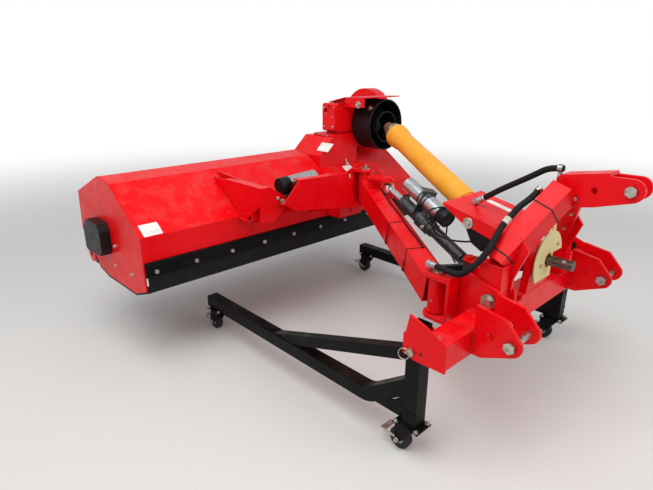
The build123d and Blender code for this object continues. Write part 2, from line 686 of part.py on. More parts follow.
def eye(centre, axis, way, reach):
    """A round eye of an actuator with its neck towards way."""
    ax = vec(axis)
    start = vec(centre) - ax * (EYE_T / 2)
    ring = extrude(Plane(origin=start, z_dir=ax) * Circle(EYE_D / 2), amount=EYE_T)
    neck = rod(centre, tuple(vec(centre) + vec(way) * reach), 13)
    hole = rod(tuple(start - ax * 5), tuple(start + ax * (EYE_T + 5)), EYE_PIN_D / 2 + 0.5)
    return ring.fuse(neck) - hole


def actuator(
    root, tip, pin_axis, house_at, barrel_end, tube_r, motor_offset, motor_from, motor_to, bore_from, lean=0.0
):
    """Eye, tube, gear housing and barrel of an actuator whose rod leaves at barrel_end."""
    start, end = vec(root), vec(tip)
    way = (end - start).normalized()
    up = Vector(0, 0, 1) + Vector(lean, 0, 0)
    lift = (up - way * up.dot(way)).normalized()

    def at(distance, height=0.0):
        return tuple(start + way * distance + lift * height)

    link = beam(at(house_at + 22, 8), at(house_at + 22, motor_offset - MOTOR_D / 2 + 3), 40, 52, side=tuple(way))
    body = eye(root, pin_axis, way, 46).fuse(
        rod(at(38), at(house_at - 8), tube_r),
        rod(at(house_at - 34), at(house_at - 6), tube_r + 5),
        rod(at(house_at - 10), at(house_at + 54), tube_r + 10),
        rod(at(house_at + 50), at(barrel_end), tube_r + 3),
        link,
    )
    body -= rod(at(bore_from), at(barrel_end + 5), ROD_D / 2 + RUNNING)
    motor = rod(at(motor_from, motor_offset), at(motor_to, motor_offset), MOTOR_D / 2)
    cap = rod(at(motor_from - 30, motor_offset), at(motor_from, motor_offset), MOTOR_D / 2 - 2)
    motor = motor.fuse(cap)
    saddle = rod(at(motor_from - 40, motor_offset), at(motor_to + 10, motor_offset), MOTOR_D / 2 + FACE_GAP)
    return body - saddle, motor


def actuator_rod(root, tip, pin_axis, rod_from):
    """The bright rod with its eye."""
    start, end = vec(root), vec(tip)
    way = (end - start).normalized()
    length = (end - start).length
    bar = rod(tuple(start + way * rod_from), tuple(start + way * (length - EYE_D / 2 - 4)), ROD_D / 2)
    return bar.fuse(eye(tip, pin_axis, way * -1, 40))


TILT_ROOT = (TILT_OUTER[0], TILT_Y, TILT_OUTER[1])
TILT_TIP = (TILT_INNER[0], TILT_Y, TILT_INNER[1])


# Drive line

DRIVE_START = Vector(0, JOINT_Y, INPUT_Z)
DRIVE_RUN = vec(REAR_JOINT) - DRIVE_START
DRIVE_WAY = DRIVE_RUN.normalized()
DRIVE_LENGTH = DRIVE_RUN.length
PITCH_AXIS = (0.699, -0.391, -0.599)
REAR_CONE_BACK = 112.0
REAR_SHAFT_R = 24.0


def on_drive(distance):
    point = DRIVE_START + DRIVE_WAY * distance
    return (point.X, point.Y, point.Z)


def cone_section(start, end, wide, narrow):
    """A ribbed bell of the guard, wide at start, with three rings that step down to the tube."""
    length = (vec(on_drive(end)) - vec(on_drive(start))).length
    way = DRIVE_WAY if end > start else DRIVE_WAY * -1
    plane = Plane(origin=vec(on_drive(start)), z_dir=way)
    bore = GUARD_D / 2 - 10
    step = (wide - narrow) / 2 / 4
    points = [(bore, 0), (wide / 2 - 2, 0)]
    for ring in range(3):
        z = length * (0.04 + 0.30 * ring)
        radius = wide / 2 - step * ring
        points += [(radius - 2, z), (radius, z + 2), (radius, z + length * 0.14), (radius - 4, z + length * 0.20)]
    points += [(narrow / 2, length), (bore, length)]
    profile = make_face(Polyline(*[(p[0], 0, p[1]) for p in points], close=True).edges())
    return plane.location * revolve(profile, Axis.Z, 360)


def drive_front_yoke():
    """The cross of the front joint, with a trunnion along each of its two axes."""
    centre = Vector(0, JOINT_Y, INPUT_Z)
    ball = Pos(centre.X, centre.Y, centre.Z) * Sphere(25)
    upright = rod((0, JOINT_Y, INPUT_Z - 34), (0, JOINT_Y, INPUT_Z + 34), 11)
    pitch = vec(PITCH_AXIS)
    level = rod(tuple(centre - pitch * 31), tuple(centre + pitch * 31), 11)
    return ball.fuse(upright, level)


def drive_front():
    """Front half of the guard with its bell and the shaft inside it."""
    tube = pipe(on_drive(FRONT_CONE_FROM + 60), on_drive(860), GUARD_D / 2, GUARD_D / 2 - GUARD_WALL)
    bell = cone_section(FRONT_CONE_FROM, FRONT_CONE_FROM + 76, FRONT_CONE_D, GUARD_D)
    shaft = rod(on_drive(42), on_drive(860), 19)
    web = pipe(on_drive(FRONT_CONE_FROM + 60), on_drive(FRONT_CONE_FROM + 72), GUARD_D / 2 - 1, 18)
    hub = rod(on_drive(42), on_drive(FRONT_CONE_FROM), 28)
    return tube.fuse(bell, shaft, web, hub)


def drive_rear():
    """Rear half of the guard, which slides over the front half."""
    inner = GUARD_D / 2 + GUARD_SLIDE
    bell_from = DRIVE_LENGTH - REAR_CONE_BACK
    tube = pipe(on_drive(352), on_drive(bell_from - 60), GUARD_OUTER_D / 2, inner)
    bell = cone_section(bell_from, bell_from - 82, REAR_CONE_D, GUARD_OUTER_D)
    return tube.fuse(bell) - rod(on_drive(DRIVE_LENGTH), on_drive(bell_from - 26), REAR_SHAFT_R - 1)


def drive_shaft_rear():
    """The bare end of the sliding shaft behind the guard, with its locking collar and half joint."""
    bell_from = DRIVE_LENGTH - REAR_CONE_BACK
    shaft = rod(on_drive(bell_from - 22), on_drive(DRIVE_LENGTH - 40), REAR_SHAFT_R)
    lip = rod(on_drive(bell_from - 22), on_drive(bell_from - 18), REAR_SHAFT_R + 6)
    collar = rod(on_drive(DRIVE_LENGTH - 78), on_drive(DRIVE_LENGTH - 58), 40)
    neck = rod(on_drive(DRIVE_LENGTH - 60), on_drive(DRIVE_LENGTH - 34), 33)
    end = rod(on_drive(DRIVE_LENGTH - 36), on_drive(DRIVE_LENGTH), 25)
    return shaft.fuse(lip, collar, neck, end)


# Deck

def hood_envelope(margin=0.0):
    """The solid that the hood encloses, for cutting what stands on it."""
    face = outline(*HOOD_POINTS)
    if margin:
        face = offset(face, amount=margin)
    return plate_x(face, DECK_INNER_X - 5, DECK_OUTER_X - DECK_INNER_X + 10)


def deck_hood():
    """The folded sheet over the rotor."""
    outer = outline(*HOOD_POINTS)
    inner = offset(outer, amount=-SHEET_T, kind=Kind.INTERSECTION)
    rear = HOOD_POINTS[-1]
    mouth = outline(
        (FRONT_Y - SHEET_T, FRONT_BOTTOM_Z - 20),
        (FRONT_Y - SHEET_T, FRONT_BOTTOM_Z + 30),
        (rear[0] + SHEET_T + 1, rear[1] + 30),
        (rear[0] + SHEET_T + 1, rear[1] - 20),
    )
    start = DECK_INNER_X + END_T
    return plate_x(outer - inner - mouth, start, DECK_OUTER_X - END_T - start)


def end_outline():
    """The side plate: the hood's profile carried down to the runner."""
    return outline((FRONT_Y, SKID_FRONT_Z), *HOOD_POINTS[1:], *SKID_POINTS)


def deck_end(x, bored):
    face = end_outline()
    if bored:
        face -= disc((ROTOR_Y, ROTOR_Z), ROTOR_STUB_D / 2 + RUNNING)
    return plate_x(face, x, END_T)


def bulkhead():
    """The rotor's inner bearing wall, between the hood and the belt's chamber."""
    shape = offset(end_outline(), amount=-SHEET_T - 3 * FACE_GAP, kind=Kind.INTERSECTION)
    shape -= outline((-1205, 300), (-1205, 460), (-1180, 460), (-1180, 300))
    shape -= outline((-1700, 300), (-1700, 372), (-1180, 372), (-1180, 300))
    shape -= disc((ROTOR_Y, ROTOR_Z), ROTOR_STUB_D / 2 + RUNNING)
    return plate_x(shape, BULKHEAD_X, END_T)


def runners():
    """The wear strips under the two side plates."""
    low = [(FRONT_Y - 9, SKID_FRONT_Z - 3.5), *reversed(SKID_POINTS)]
    top = [(y, z - FACE_GAP) for y, z in low]
    bottom = [(y, z - SKID_T) for y, z in low]
    face = outline(*top[:-1], (-1697, 385), *[(y, z) for y, z in reversed(bottom[:-2])])
    return Compound(
        children=[plate_x(face, DECK_OUTER_X - SKID_W, SKID_W), plate_x(face, DECK_INNER_X, SKID_W)]
    )


def rotor():
    """The tube with its hinged flails in four rows, and its stub shafts."""
    left = BULKHEAD_X + END_T + 10
    right = DECK_OUTER_X - END_T - 10
    tube = rod((left, ROTOR_Y, ROTOR_Z), (right, ROTOR_Y, ROTOR_Z), ROTOR_TUBE_D / 2)
    stub = rod((BULKHEAD_X - 12, ROTOR_Y, ROTOR_Z), (DECK_OUTER_X + 14, ROTOR_Y, ROTOR_Z), ROTOR_STUB_D / 2)
    pieces = [stub]
    pitch = (right - left - 90) / (FLAIL_COUNT - 1)
    lug_out = ROTOR_TUBE_D / 2 + 20
    for i in range(FLAIL_COUNT):
        x = left + 45 + pitch * i
        turn = (i % 4) * 90 + (i // 4) * 22.5
        lug = Pos(0, 0, ROTOR_TUBE_D / 2 + 7) * Box(22, 28, 28)
        arm_len = FLAIL_TIP_R - lug_out + 12
        blade = Pos(0, 0, FLAIL_TIP_R - arm_len / 2 - 1) * Box(8, 26, arm_len)
        foot = Pos(0, 7, FLAIL_TIP_R - 9) * Box(50, 10, 14)
        pieces.append(Pos(x, ROTOR_Y, ROTOR_Z) * Rot(turn, 0, 0) * lug.fuse(blade, foot))
    return tube.fuse(*pieces)


def bearing_cover():
    """The boxed cover over the rotor's outer bearing."""
    x = DECK_OUTER_X + FACE_GAP
    shape = outline(
        (-1652, 430),
        (-1652, 520),
        (-1610, 560),
        (-1500, 560),
        (-1478, 530),
        (-1478, 450),
        (-1500, 425),
        (-1640, 420),
    )
    body = plate_x(shape, x, 44)
    return body - rod((x - 5, ROTOR_Y, ROTOR_Z), (x + 20, ROTOR_Y, ROTOR_Z), ROTOR_STUB_D / 2 + RUNNING)


def roller():
    left, right = DECK_INNER_X + END_T + 18, DECK_OUTER_X - END_T - 18
    drum = rod((left, ROLLER_Y, ROLLER_Z), (right, ROLLER_Y, ROLLER_Z), ROLLER_D / 2)
    axle = rod((left - 16, ROLLER_Y, ROLLER_Z), (right + 16, ROLLER_Y, ROLLER_Z), ROLLER_AXLE_D / 2)
    return drum.fuse(axle)


def roller_brackets():
    """Plates inside the side plates that carry the roller's axle."""
    hood_rear = outline((-1782, 500), (-1782, 615), (-1700, 615), (-1700, 500))
    face = hull(disc((ROLLER_Y, ROLLER_Z), 38), hood_rear)
    face -= disc((ROLLER_Y, ROLLER_Z), ROLLER_AXLE_D / 2 + RUNNING)
    t = 8.0
    spots = (DECK_INNER_X + END_T + FACE_GAP, DECK_OUTER_X - END_T - t - FACE_GAP)
    return Compound(children=[plate_x(face, x, t) for x in spots])


def front_flaps():
    """Rubber flaps side by side under the hood's front edge."""
    flaps = []
    for right, left in zip(FLAP_SEAMS, FLAP_SEAMS[1:]):
        x0, x1 = left + 0.5, right - 0.5
        top = FRONT_BOTTOM_Z - FACE_GAP
        flaps.append(block(x0, x1, FRONT_Y - FLAP_T, FRONT_Y - FACE_GAP, FLAP_BOTTOM_Z, top))
    return Compound(children=flaps)


def flap_strip():
    """The steel bar in front that clamps the flaps."""
    return block(DECK_INNER_X + 6, DECK_OUTER_X - 6, FRONT_Y, FRONT_Y + 6, 408, 466)


def deck_bracket():
    """The bent plate on the hood that holds the tilt actuator's outer eye."""
    px, pz = TILT_OUTER
    half = EYE_T / 2 + LUG_GAP
    ear = hull(disc((px, pz), 27), outline((px + 40, 560), (px + 110, 566), (px + 96, 700), (px + 62, 706)))
    front = plate_y(ear, TILT_Y + half + LUG_T, LUG_T)
    rear = plate_y(ear, TILT_Y - half, LUG_T)
    cap = rod((px, TILT_Y + half + LUG_T - 0.5, pz), (px, TILT_Y + half + LUG_T + 7, pz), 13)
    cap_rear = rod((px, TILT_Y - half - LUG_T + 0.5, pz), (px, TILT_Y - half - LUG_T - 7, pz), 13)
    y0, y1 = -1420.0, TILT_Y + half + LUG_T
    side = outline((y0, 560), (y0, 720), (-1230, 706), (y1, 706), (y1, 566), (-1150, 540))
    cheek = plate_x(side, px + 62, 8)
    roof = block(px + 62, px + 104, -1300, y1, 698, 706)
    outer = plate_x(outline((y0, 560), (y0, 700), (-1230, 706), (y1, 706), (y1, 640), (-1150, 560)), px + 96, 8)
    foot = block(px + 40, px + 116, -1212, -1130, 552, 560)
    body = front.fuse(rear, cap, cap_rear, cheek, roof, outer, foot)
    return body - hood_envelope(FACE_GAP)


GUARD_FRONT_Y = -989.0


def tilt_guard():
    """The folded red plate in front of the tilt actuator with its floor back to the hood."""
    t = 6.0
    low_in, low_out = (-40.0, 550.0), (325.0, 605.0)
    face = outline(low_in, low_out, (388, 641), (304, 728), (20, 716), (5, 650))
    front = plate_y(face, GUARD_FRONT_Y, t)
    flange = plate_y(outline((304, 728), (304, 722), (20, 710), (20, 716)), GUARD_FRONT_Y, 42)
    floor_face = outline((60, 565), (60, 571), (300, 607), (300, 601))
    floor = plate_y(floor_face, GUARD_FRONT_Y, 360)
    ribs = []
    for x, z in ((62, 567), (290, 600)):
        web = outline((GUARD_FRONT_Y, z), (-1260, z), (-1260, z - 60), (-1196, z - 60))
        ribs.append(plate_x(web, x, t))
    return front.fuse(flange, floor, *ribs) - hood_envelope(FACE_GAP)


def tilt_bracket():
    """The tube that turns on the tilt pin, held by two plates and gussets on the hood's front."""
    tube = pipe((TILT_X, BOSS_Y0, TILT_Z), (TILT_X, -1192, TILT_Z), 38, TILT_PIN_D / 2 + RUNNING)
    shape = hull(
        disc((TILT_X, TILT_Z), 44),
        outline((TILT_X - 90, 470), (TILT_X + 60, 470), (TILT_X + 60, 560), (TILT_X - 90, 560)),
    )
    shape -= disc((TILT_X, TILT_Z), TILT_PIN_D / 2 + RUNNING)
    plates = [plate_y(shape, y, 10) for y in (-1112, FRONT_Y + 10)]
    side = outline((-1112, 470), (-1112, 545), (FRONT_Y, 545), (FRONT_Y, 470))
    ribs = [plate_x(side, x, 10) for x in (TILT_X - 90, TILT_X + 50)]
    return tube.fuse(*plates, *ribs) - hood_envelope()


def gearbox():
    """The gear housing with its cover plate, its input neck and its stub toward the belt case."""
    upper = block(GEARBOX_X0, GEARBOX_X1, GEARBOX_Y0, GEARBOX_Y1, GEARBOX_Z0, GEARBOX_Z1)
    upper = fillet(upper.edges().filter_by(Axis.Y), 12)
    cover = block(GEARBOX_X1 - 14, GEARBOX_X1 + 6, GEARBOX_Y0 + 6, GEARBOX_Y1 - 6, GEARBOX_Z0 + 8, GEARBOX_Z1 - 8)
    cover = fillet(cover.edges().filter_by(Axis.X), 10)
    hole_y, hole_z = GEARBOX_Y0 + 30, GEARBOX_Z1 - 34
    eye_hole = rod((GEARBOX_X1 - 20, hole_y, hole_z), (GEARBOX_X1 + 9, hole_y, hole_z), 11)
    neck = rod((SHIELD_X, GEARBOX_Y1 - 5, SHIELD_Z), (SHIELD_X, SHIELD_REAR_Y, SHIELD_Z), 58)
    low = PEDESTAL_TOP_Z
    foot = block(GEARBOX_X0 + 10, GEARBOX_X1 + 24, GEARBOX_Y0 - 40, GEARBOX_Y1 + 4, low, low + 14)
    waist = block(GEARBOX_X0 + 30, GEARBOX_X1 - 24, GEARBOX_Y0 + 8, GEARBOX_Y1 - 10, low, GEARBOX_Z0 + 20)
    axle = (GEARBOX_Y0 + GEARBOX_Y1) / 2
    stub = rod((GEARBOX_X0 + 5, axle, 890), (BULKHEAD_X + FACE_GAP, axle, 890), 44)
    return upper.fuse(cover, neck, foot, waist, stub) - eye_hole


def pedestal():
    """The flared stool on the hood's top that carries the gearbox."""
    top = PEDESTAL_TOP_Z
    table_x0, table_x1 = -410.0, GEARBOX_X1 + 34
    y0, y1 = GEARBOX_Y0 - 96, GEARBOX_Y1 + 8
    wall = 8.0
    face = outline((table_x0, 600), (table_x0, top), (table_x1, top), (table_x1 + 90, 730), (table_x1 + 90, 600))
    hollow = outline(
        (table_x0 + wall, 590), (table_x0 + wall, top - wall), (table_x1 - 4, top - wall), (table_x1 + 80, 727),
        (table_x1 + 80, 590),
    )
    shell = plate_y(face, y1, y1 - y0) - plate_y(hollow, y1 - wall, y1 - y0 - 2 * wall)
    return shell - hood_envelope(FACE_GAP)


def shield():
    """The black bell round the gearbox's input with the joint's inner bell."""
    plane = Plane(origin=(SHIELD_X, SHIELD_REAR_Y, SHIELD_Z), x_dir=(1, 0, 0), z_dir=(0, 1, 0))
    ring = Circle(SHIELD_D / 2) - Circle(SHIELD_D / 2 - 5)
    wall = extrude(plane * ring, amount=SHIELD_FRONT_Y - SHIELD_REAR_Y)
    back = extrude(plane * Circle(SHIELD_D / 2), amount=5)
    return wall.fuse(back)


def joint_bell():
    """The gearbox half of the rear joint inside its black bell."""
    y = SHIELD_REAR_Y + 5
    hub = rod((REAR_JOINT[0], y, REAR_JOINT[2]), (REAR_JOINT[0], y + 66, REAR_JOINT[2]), 28)
    bell = pipe((REAR_JOINT[0], y, REAR_JOINT[2]), (REAR_JOINT[0], y + 128, REAR_JOINT[2]), 78, 74)
    return bell.fuse(hub, rod((REAR_JOINT[0], y, REAR_JOINT[2]), (REAR_JOINT[0], y + 5, REAR_JOINT[2]), 77))


def gearbox_roof():
    """The folded red plate over the gearbox and its shield."""
    z = GEARBOX_Z1
    shield_top = SHIELD_Z + SHIELD_D / 2 + 6
    rear = GEARBOX_Y0 - 6
    t = 5.0
    face = outline(
        (rear, z),
        (-1352, shield_top),
        (-1216, shield_top + 4),
        (-1216, shield_top + 4 + t),
        (-1352, shield_top + t),
        (rear, z + t),
    )
    right = GEARBOX_X1 - 54
    roof = plate_x(face, GEARBOX_X0 + 6, right - GEARBOX_X0 - 6)
    low = shield_top - 44
    skirt = outline((-1346, shield_top + 1), (-1346, low), (-1216, low + 4), (-1216, shield_top + 6))
    lip = plate_x(skirt, right - 4, 4)
    wedge = outline((GEARBOX_Y0 + 4, z), (GEARBOX_Y1 - 8, z), (GEARBOX_Y1 - 8, z + 22))
    ribs = [plate_x(wedge, x, 8) for x in (GEARBOX_X0 + 20, GEARBOX_X1 - 80)]
    return roof.fuse(lip, *ribs)


def belt_case():
    """The belt drive's case that rises from the deck's inner chamber."""
    high = disc((CASE_TOP_Y, CASE_TOP_Z), CASE_TOP_R)
    low = disc((ROTOR_Y, 620), CASE_LOW_R)
    x0 = DECK_INNER_X + END_T + FACE_GAP
    body = plate_x(hull(high, low), x0, BULKHEAD_X - x0)
    return body - hood_envelope(FACE_GAP)


# Hoses held along the mast and arm


def hose(points, radius):
    """A hose of straight runs joined by arcs as large as the runs allow."""
    path_points = [Vector(*p) for p in points]
    radii = []
    for a, b, c in zip(path_points, path_points[1:], path_points[2:]):
        turn = math.radians((b - a).get_angle(c - b))
        run = min((b - a).length, (c - b).length)
        radii.append(0.45 * run / math.tan(turn / 2))
    print("hose radii", [round(r) for r in radii])
    path = FilletPolyline(*path_points, radius=radii)
    start = path_points[0]
    way = path_points[1] - path_points[0]
    section = Plane(origin=start, z_dir=way) * Circle(radius)
    return sweep(section, path=path)


HOSE_R = 10.0


def upper_hose():
    return hose([(20, -80, 866), (20, -128, 860), (20, -180, 826), (20, -284, 762), (20, -348, 717)], HOSE_R)


def lower_hose():
    return hose(
        [
            (300, -338, 549),
            (307, -284, 549),
            (316, -224, 551),
            (300, -190, 588),
            (275, -170, 628),
            (240, -166, 666),
            (200, -166, 703),
            (172, -157, 728),
            (146, -148, 754),
            (114, -128, 780),
            (80, -118, 806),
        ],
        HOSE_R,
    )


NODES = {}


def add(name, shape):
    NODES[name] = shape


add("crossbeam", crossbeam())
add("hitch_plates", hitch_plates())
add("hitch_pins", hitch_pins())
add("mast", mast())
add("top_link_pin", top_link_pin())
add("bearing_housing", bearing_housing())
add("input_shaft", input_shaft())
add("input_shield_plate", input_shield_plate())
add("joint_cover", joint_cover())
add("joint_skirts", joint_skirts())
add("arm_carrier", arm_carrier())
add("carrier_pins", carrier_pins())
add("stand_right", stand(1))
add("stand_left", stand(-1))
add("stand_pins", stand_pins())
for spot, caster_x, caster_y in CASTER_SPOTS:
    add("caster_fork_" + spot, caster_fork(caster_x, caster_y))
    add("caster_wheel_" + spot, caster_wheel(caster_x, caster_y))
add("swing_arm", swing_arm())
add("parallel_link", parallel_link())
add("yoke", yoke())
add("yoke_pins", yoke_pins())
slide_body, slide_motor = actuator(
    SLIDE_ROOT,
    SLIDE_TIP,
    SLIDE_AXIS,
    house_at=SLIDE_HOUSE,
    barrel_end=SLIDE_BARREL_END,
    tube_r=23,
    motor_offset=71,
    motor_from=215,
    motor_to=445,
    bore_from=SLIDE_BORE_FROM,
    lean=-0.28,
)
add("slide_actuator", slide_body)
add("slide_motor", slide_motor)
add("slide_rod", actuator_rod(SLIDE_ROOT, SLIDE_TIP, SLIDE_AXIS, SLIDE_ROD_FROM))
tilt_body, tilt_motor = actuator(
    TILT_ROOT,
    TILT_TIP,
    (0, 1, 0),
    house_at=64,
    barrel_end=340,
    tube_r=20,
    motor_offset=56,
    motor_from=50,
    motor_to=210,
    bore_from=TILT_BORE_FROM,
)
add("tilt_actuator", tilt_body)
add("tilt_motor", tilt_motor)
add("tilt_rod", actuator_rod(TILT_ROOT, TILT_TIP, (0, 1, 0), TILT_ROD_FROM))
add("drive_cross", drive_front_yoke())
add("drive_guard_front", drive_front())
add("drive_guard_rear", drive_rear())
add("drive_shaft_rear", drive_shaft_rear())
add("deck_hood", deck_hood())
add("deck_end_outer", deck_end(DECK_OUTER_X - END_T, True))
add("deck_end_inner", deck_end(DECK_INNER_X, False))
add("bulkhead", bulkhead())
add("runners", runners())
add("rotor", rotor())
add("bearing_cover", bearing_cover())
add("rear_roller", roller())
add("roller_brackets", roller_brackets())
add("front_flaps", front_flaps())
add("flap_strip", flap_strip())
add("deck_bracket", deck_bracket())
add("tilt_guard", tilt_guard())
add("tilt_bracket", tilt_bracket())
add("gearbox", gearbox())
add("pedestal", pedestal())
add("shield", shield())
add("joint_bell", joint_bell())
add("gearbox_roof", gearbox_roof())
add("belt_case", belt_case())
add("upper_hose", upper_hose())
add("lower_hose", lower_hose())

BOXES = [shape.bounding_box() for shape in NODES.values()]
LOW_X, LOW_Y = min(b.min.X for b in BOXES), min(b.min.Y for b in BOXES)
HIGH_X, HIGH_Y = max(b.max.X for b in BOXES), max(b.max.Y for b in BOXES)
LOW_Z, HIGH_Z = min(b.min.Z for b in BOXES), max(b.max.Z for b in BOXES)
ORIGIN = (-(LOW_X + HIGH_X) / 2, -(LOW_Y + HIGH_Y) / 2, -LOW_Z)
print("low", LOW_X, LOW_Y, LOW_Z)
print("high", HIGH_X, HIGH_Y, HIGH_Z)
print("moved by", ORIGIN)

for node_name, node_shape in NODES.items():
    export_step(Pos(*ORIGIN) * node_shape, f"parts/{node_name}.step")
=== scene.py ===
"""Slide mower on its caster stand: the looks round the CAD frame, laid out as a Blender add-on."""

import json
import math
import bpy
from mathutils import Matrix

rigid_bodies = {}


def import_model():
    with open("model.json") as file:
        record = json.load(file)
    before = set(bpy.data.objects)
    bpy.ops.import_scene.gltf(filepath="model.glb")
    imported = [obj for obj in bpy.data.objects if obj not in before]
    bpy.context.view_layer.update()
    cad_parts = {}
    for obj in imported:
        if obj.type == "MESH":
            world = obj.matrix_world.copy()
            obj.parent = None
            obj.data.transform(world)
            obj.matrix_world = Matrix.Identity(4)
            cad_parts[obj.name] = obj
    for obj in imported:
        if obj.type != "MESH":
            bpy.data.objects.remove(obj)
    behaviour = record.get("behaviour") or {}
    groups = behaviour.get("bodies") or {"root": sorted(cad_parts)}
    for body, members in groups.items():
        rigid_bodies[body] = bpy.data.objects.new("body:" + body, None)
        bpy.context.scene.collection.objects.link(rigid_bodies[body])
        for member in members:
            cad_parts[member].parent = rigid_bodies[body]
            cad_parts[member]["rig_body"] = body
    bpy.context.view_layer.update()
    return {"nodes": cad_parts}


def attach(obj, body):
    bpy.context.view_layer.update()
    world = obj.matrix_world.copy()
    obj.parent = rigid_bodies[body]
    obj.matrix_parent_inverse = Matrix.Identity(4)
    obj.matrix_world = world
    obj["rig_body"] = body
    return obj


bl_info = {
    "name": "Slide mower looks",
    "version": (1, 0, 0),
    "blender": (4, 5, 0),
    "location": "View3D > Sidebar > Mower",
    "description": "Paint, fasteners, welds, labels and light for an offset flail mower on a caster stand",
    "category": "Object",
}

from collections import namedtuple

import bpy
from bpy.props import FloatProperty, FloatVectorProperty, IntProperty, PointerProperty, StringProperty
from mathutils import Matrix, Quaternion, Vector

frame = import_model()

# Places are written in millimetres of the machine's own drawing, whose origin is here in the frame.
DRAWING_ORIGIN_MM = (-116.15, 826.5, 0.0)
MM = 0.001
UP, FRONT, BACK, RIGHT, LEFT = (0, 0, 1), (0, 1, 0), (0, -1, 0), (1, 0, 0), (-1, 0, 0)

# The photograph's view: its size, the camera's place and two of its directions.
PHOTO_WIDTH = 653
PHOTO_HEIGHT = 490
FOCAL_PIXELS = 506.0
SENSOR_MM = 36.0
CAMERA_PLACE_MM = (1610.0, 528.0, 1159.0)
CAMERA_RIGHT = (-0.7217, 0.6921, 0.0040)
CAMERA_FORWARD = (-0.6526, -0.6805, -0.3335)

# Places of the photograph, as column and row.
COLLAR_PIXEL = (389.0, 129.0)
LEVER_PIXEL = (347.5, 164.0)

# A ray that looks for the skin of a node starts this far outside it, in metres.
RAY_START = 0.12

# Ends and sizes of the beams, actuators and strips that small pieces sit on.
ARM_FRONT, ARM_REAR = (290.0, -320.0, 450.0), (-105.0, -1004.0, 632.0)
ARM_WIDTH, ARM_DEPTH = 70.0, 98.0
LEG_KNEE, LEG_TOP = (229.0, -155.0, 590.0), (50.0, -55.0, 805.0)
LEG_WIDTH, LEG_DEPTH = 66.0, 76.0
SLIDE_ROOT, SLIDE_TIP = (69.0, -336.0, 486.0), (-51.6, -820.8, 669.0)
SLIDE_MOTOR_HEIGHT, SLIDE_LEAN = 71.0, -0.28
TILT_ROOT, TILT_TIP = (353.0, -1080.0, 636.0), (-94.0, -1080.0, 664.0)
TILT_MOTOR_HEIGHT = 56.0
MOTOR_RADIUS = 31.0
DRIVE_FRONT, DRIVE_REAR = (0.0, -190.0, 557.0), (-490.0, -1200.0, 860.0)
FLAP_BOLT_START_X, FLAP_BOLT_Y, FLAP_BOLT_Z = 849.0, -1190.0, 425.0
FLAP_BEAD_START_X, FLAP_BEAD_LENGTH, FLAP_BEAD_PROUD = 886.0, 1580.0, 0.6
CASTER_PLACES = {
    "right_front": (515, -228), "left_front": (-515, -228),
    "right_rear": (515, -1320), "left_rear": (-515, -1320),
}
CASTER_TRAIL, WHEEL_RADIUS, WHEEL_WIDTH = 36.0, 37.5, 26.0
CASTER_PLATE_TOP, CASTER_BOLT_X, CASTER_BOLT_Y = 112, 30, 38


# Small tools

def at(x, y, z):
    """A place of the drawing, in metres of the frame."""
    return Vector([(value + origin) * MM for value, origin in zip((x, y, z), DRAWING_ORIGIN_MM)])


def linear(hex_colour):
    """An sRGB hex colour as four linear numbers."""
    values = []
    for place in (1, 3, 5):
        value = int(hex_colour[place:place + 2], 16) / 255
        values.append(value / 12.92 if value <= 0.04045 else ((value + 0.055) / 1.055) ** 2.4)
    return (*values, 1.0)


def rest_selection():
    """Leaves object mode with nothing selected, so that the next operator acts on its own piece only."""
    if bpy.context.object is not None and bpy.context.object.mode != "OBJECT":
        bpy.ops.object.mode_set(mode="OBJECT")
    bpy.ops.object.select_all(action="DESELECT")


def take(piece):
    """Makes this piece the only selected and the active one."""
    rest_selection()
    piece.select_set(True)
    bpy.context.view_layer.objects.active = piece


def applied():
    """Applies the place and size of the primitive that was just added, and returns it."""
    bpy.ops.object.transform_apply(location=True, rotation=True, scale=True)
    return bpy.context.object


def edit_faces(piece, wanted):
    """Enters edit mode with the faces selected for which wanted(centre, normal) is true."""
    take(piece)
    bpy.ops.object.mode_set(mode="EDIT")
    bpy.ops.mesh.select_mode(type="FACE")
    bpy.ops.mesh.select_all(action="DESELECT")
    bpy.ops.object.mode_set(mode="OBJECT")
    for face in piece.data.polygons:
        face.select = wanted(face.center, face.normal)
    bpy.ops.object.mode_set(mode="EDIT")


def leave_edit(piece, smooth_deg=None):
    """Goes back to object mode, and shades smooth below the given angle."""
    take(piece)
    if smooth_deg:
        bpy.ops.object.shade_smooth_by_angle(angle=math.radians(smooth_deg))
    return piece


def inset_and_push(inset, push):
    """Insets the selected faces and pushes the inner ones along Z."""
    bpy.ops.mesh.inset(thickness=inset)
    bpy.ops.mesh.extrude_region_move(TRANSFORM_OT_translate={"value": (0, 0, push)})


def open_through(piece, wall, smooth_deg=None):
    """Opens a piece along Z from end to end, and leaves a wall round the opening."""
    edit_faces(piece, lambda centre, normal: abs(normal.z) > 0.9)
    bpy.ops.mesh.inset(thickness=wall, use_individual=True)
    bpy.ops.mesh.bridge_edge_loops()
    return leave_edit(piece, smooth_deg)


def add_disc(radius, low, high, sides):
    """A round bar of so many sides along Z, between two heights."""
    rest_selection()
    bpy.ops.mesh.primitive_cylinder_add(
        vertices=sides, radius=radius, depth=high - low, location=(0, 0, (low + high) / 2)
    )
    return applied()


def add_box(low, high):
    """A block between two corners."""
    rest_selection()
    low, high = Vector(low), Vector(high)
    bpy.ops.mesh.primitive_cube_add(size=1, location=(low + high) / 2, scale=high - low)
    return applied()


def bevel_edges(piece, width, segments=1):
    """Rounds a piece's corners with a bevel that is applied at once."""
    take(piece)
    bevel = piece.modifiers.new("corner", "BEVEL")
    bevel.width = width
    bevel.segments = segments
    bevel.limit_method = "ANGLE"
    bevel.angle_limit = math.radians(30)
    bpy.ops.object.modifier_apply(modifier=bevel.name)
    return piece


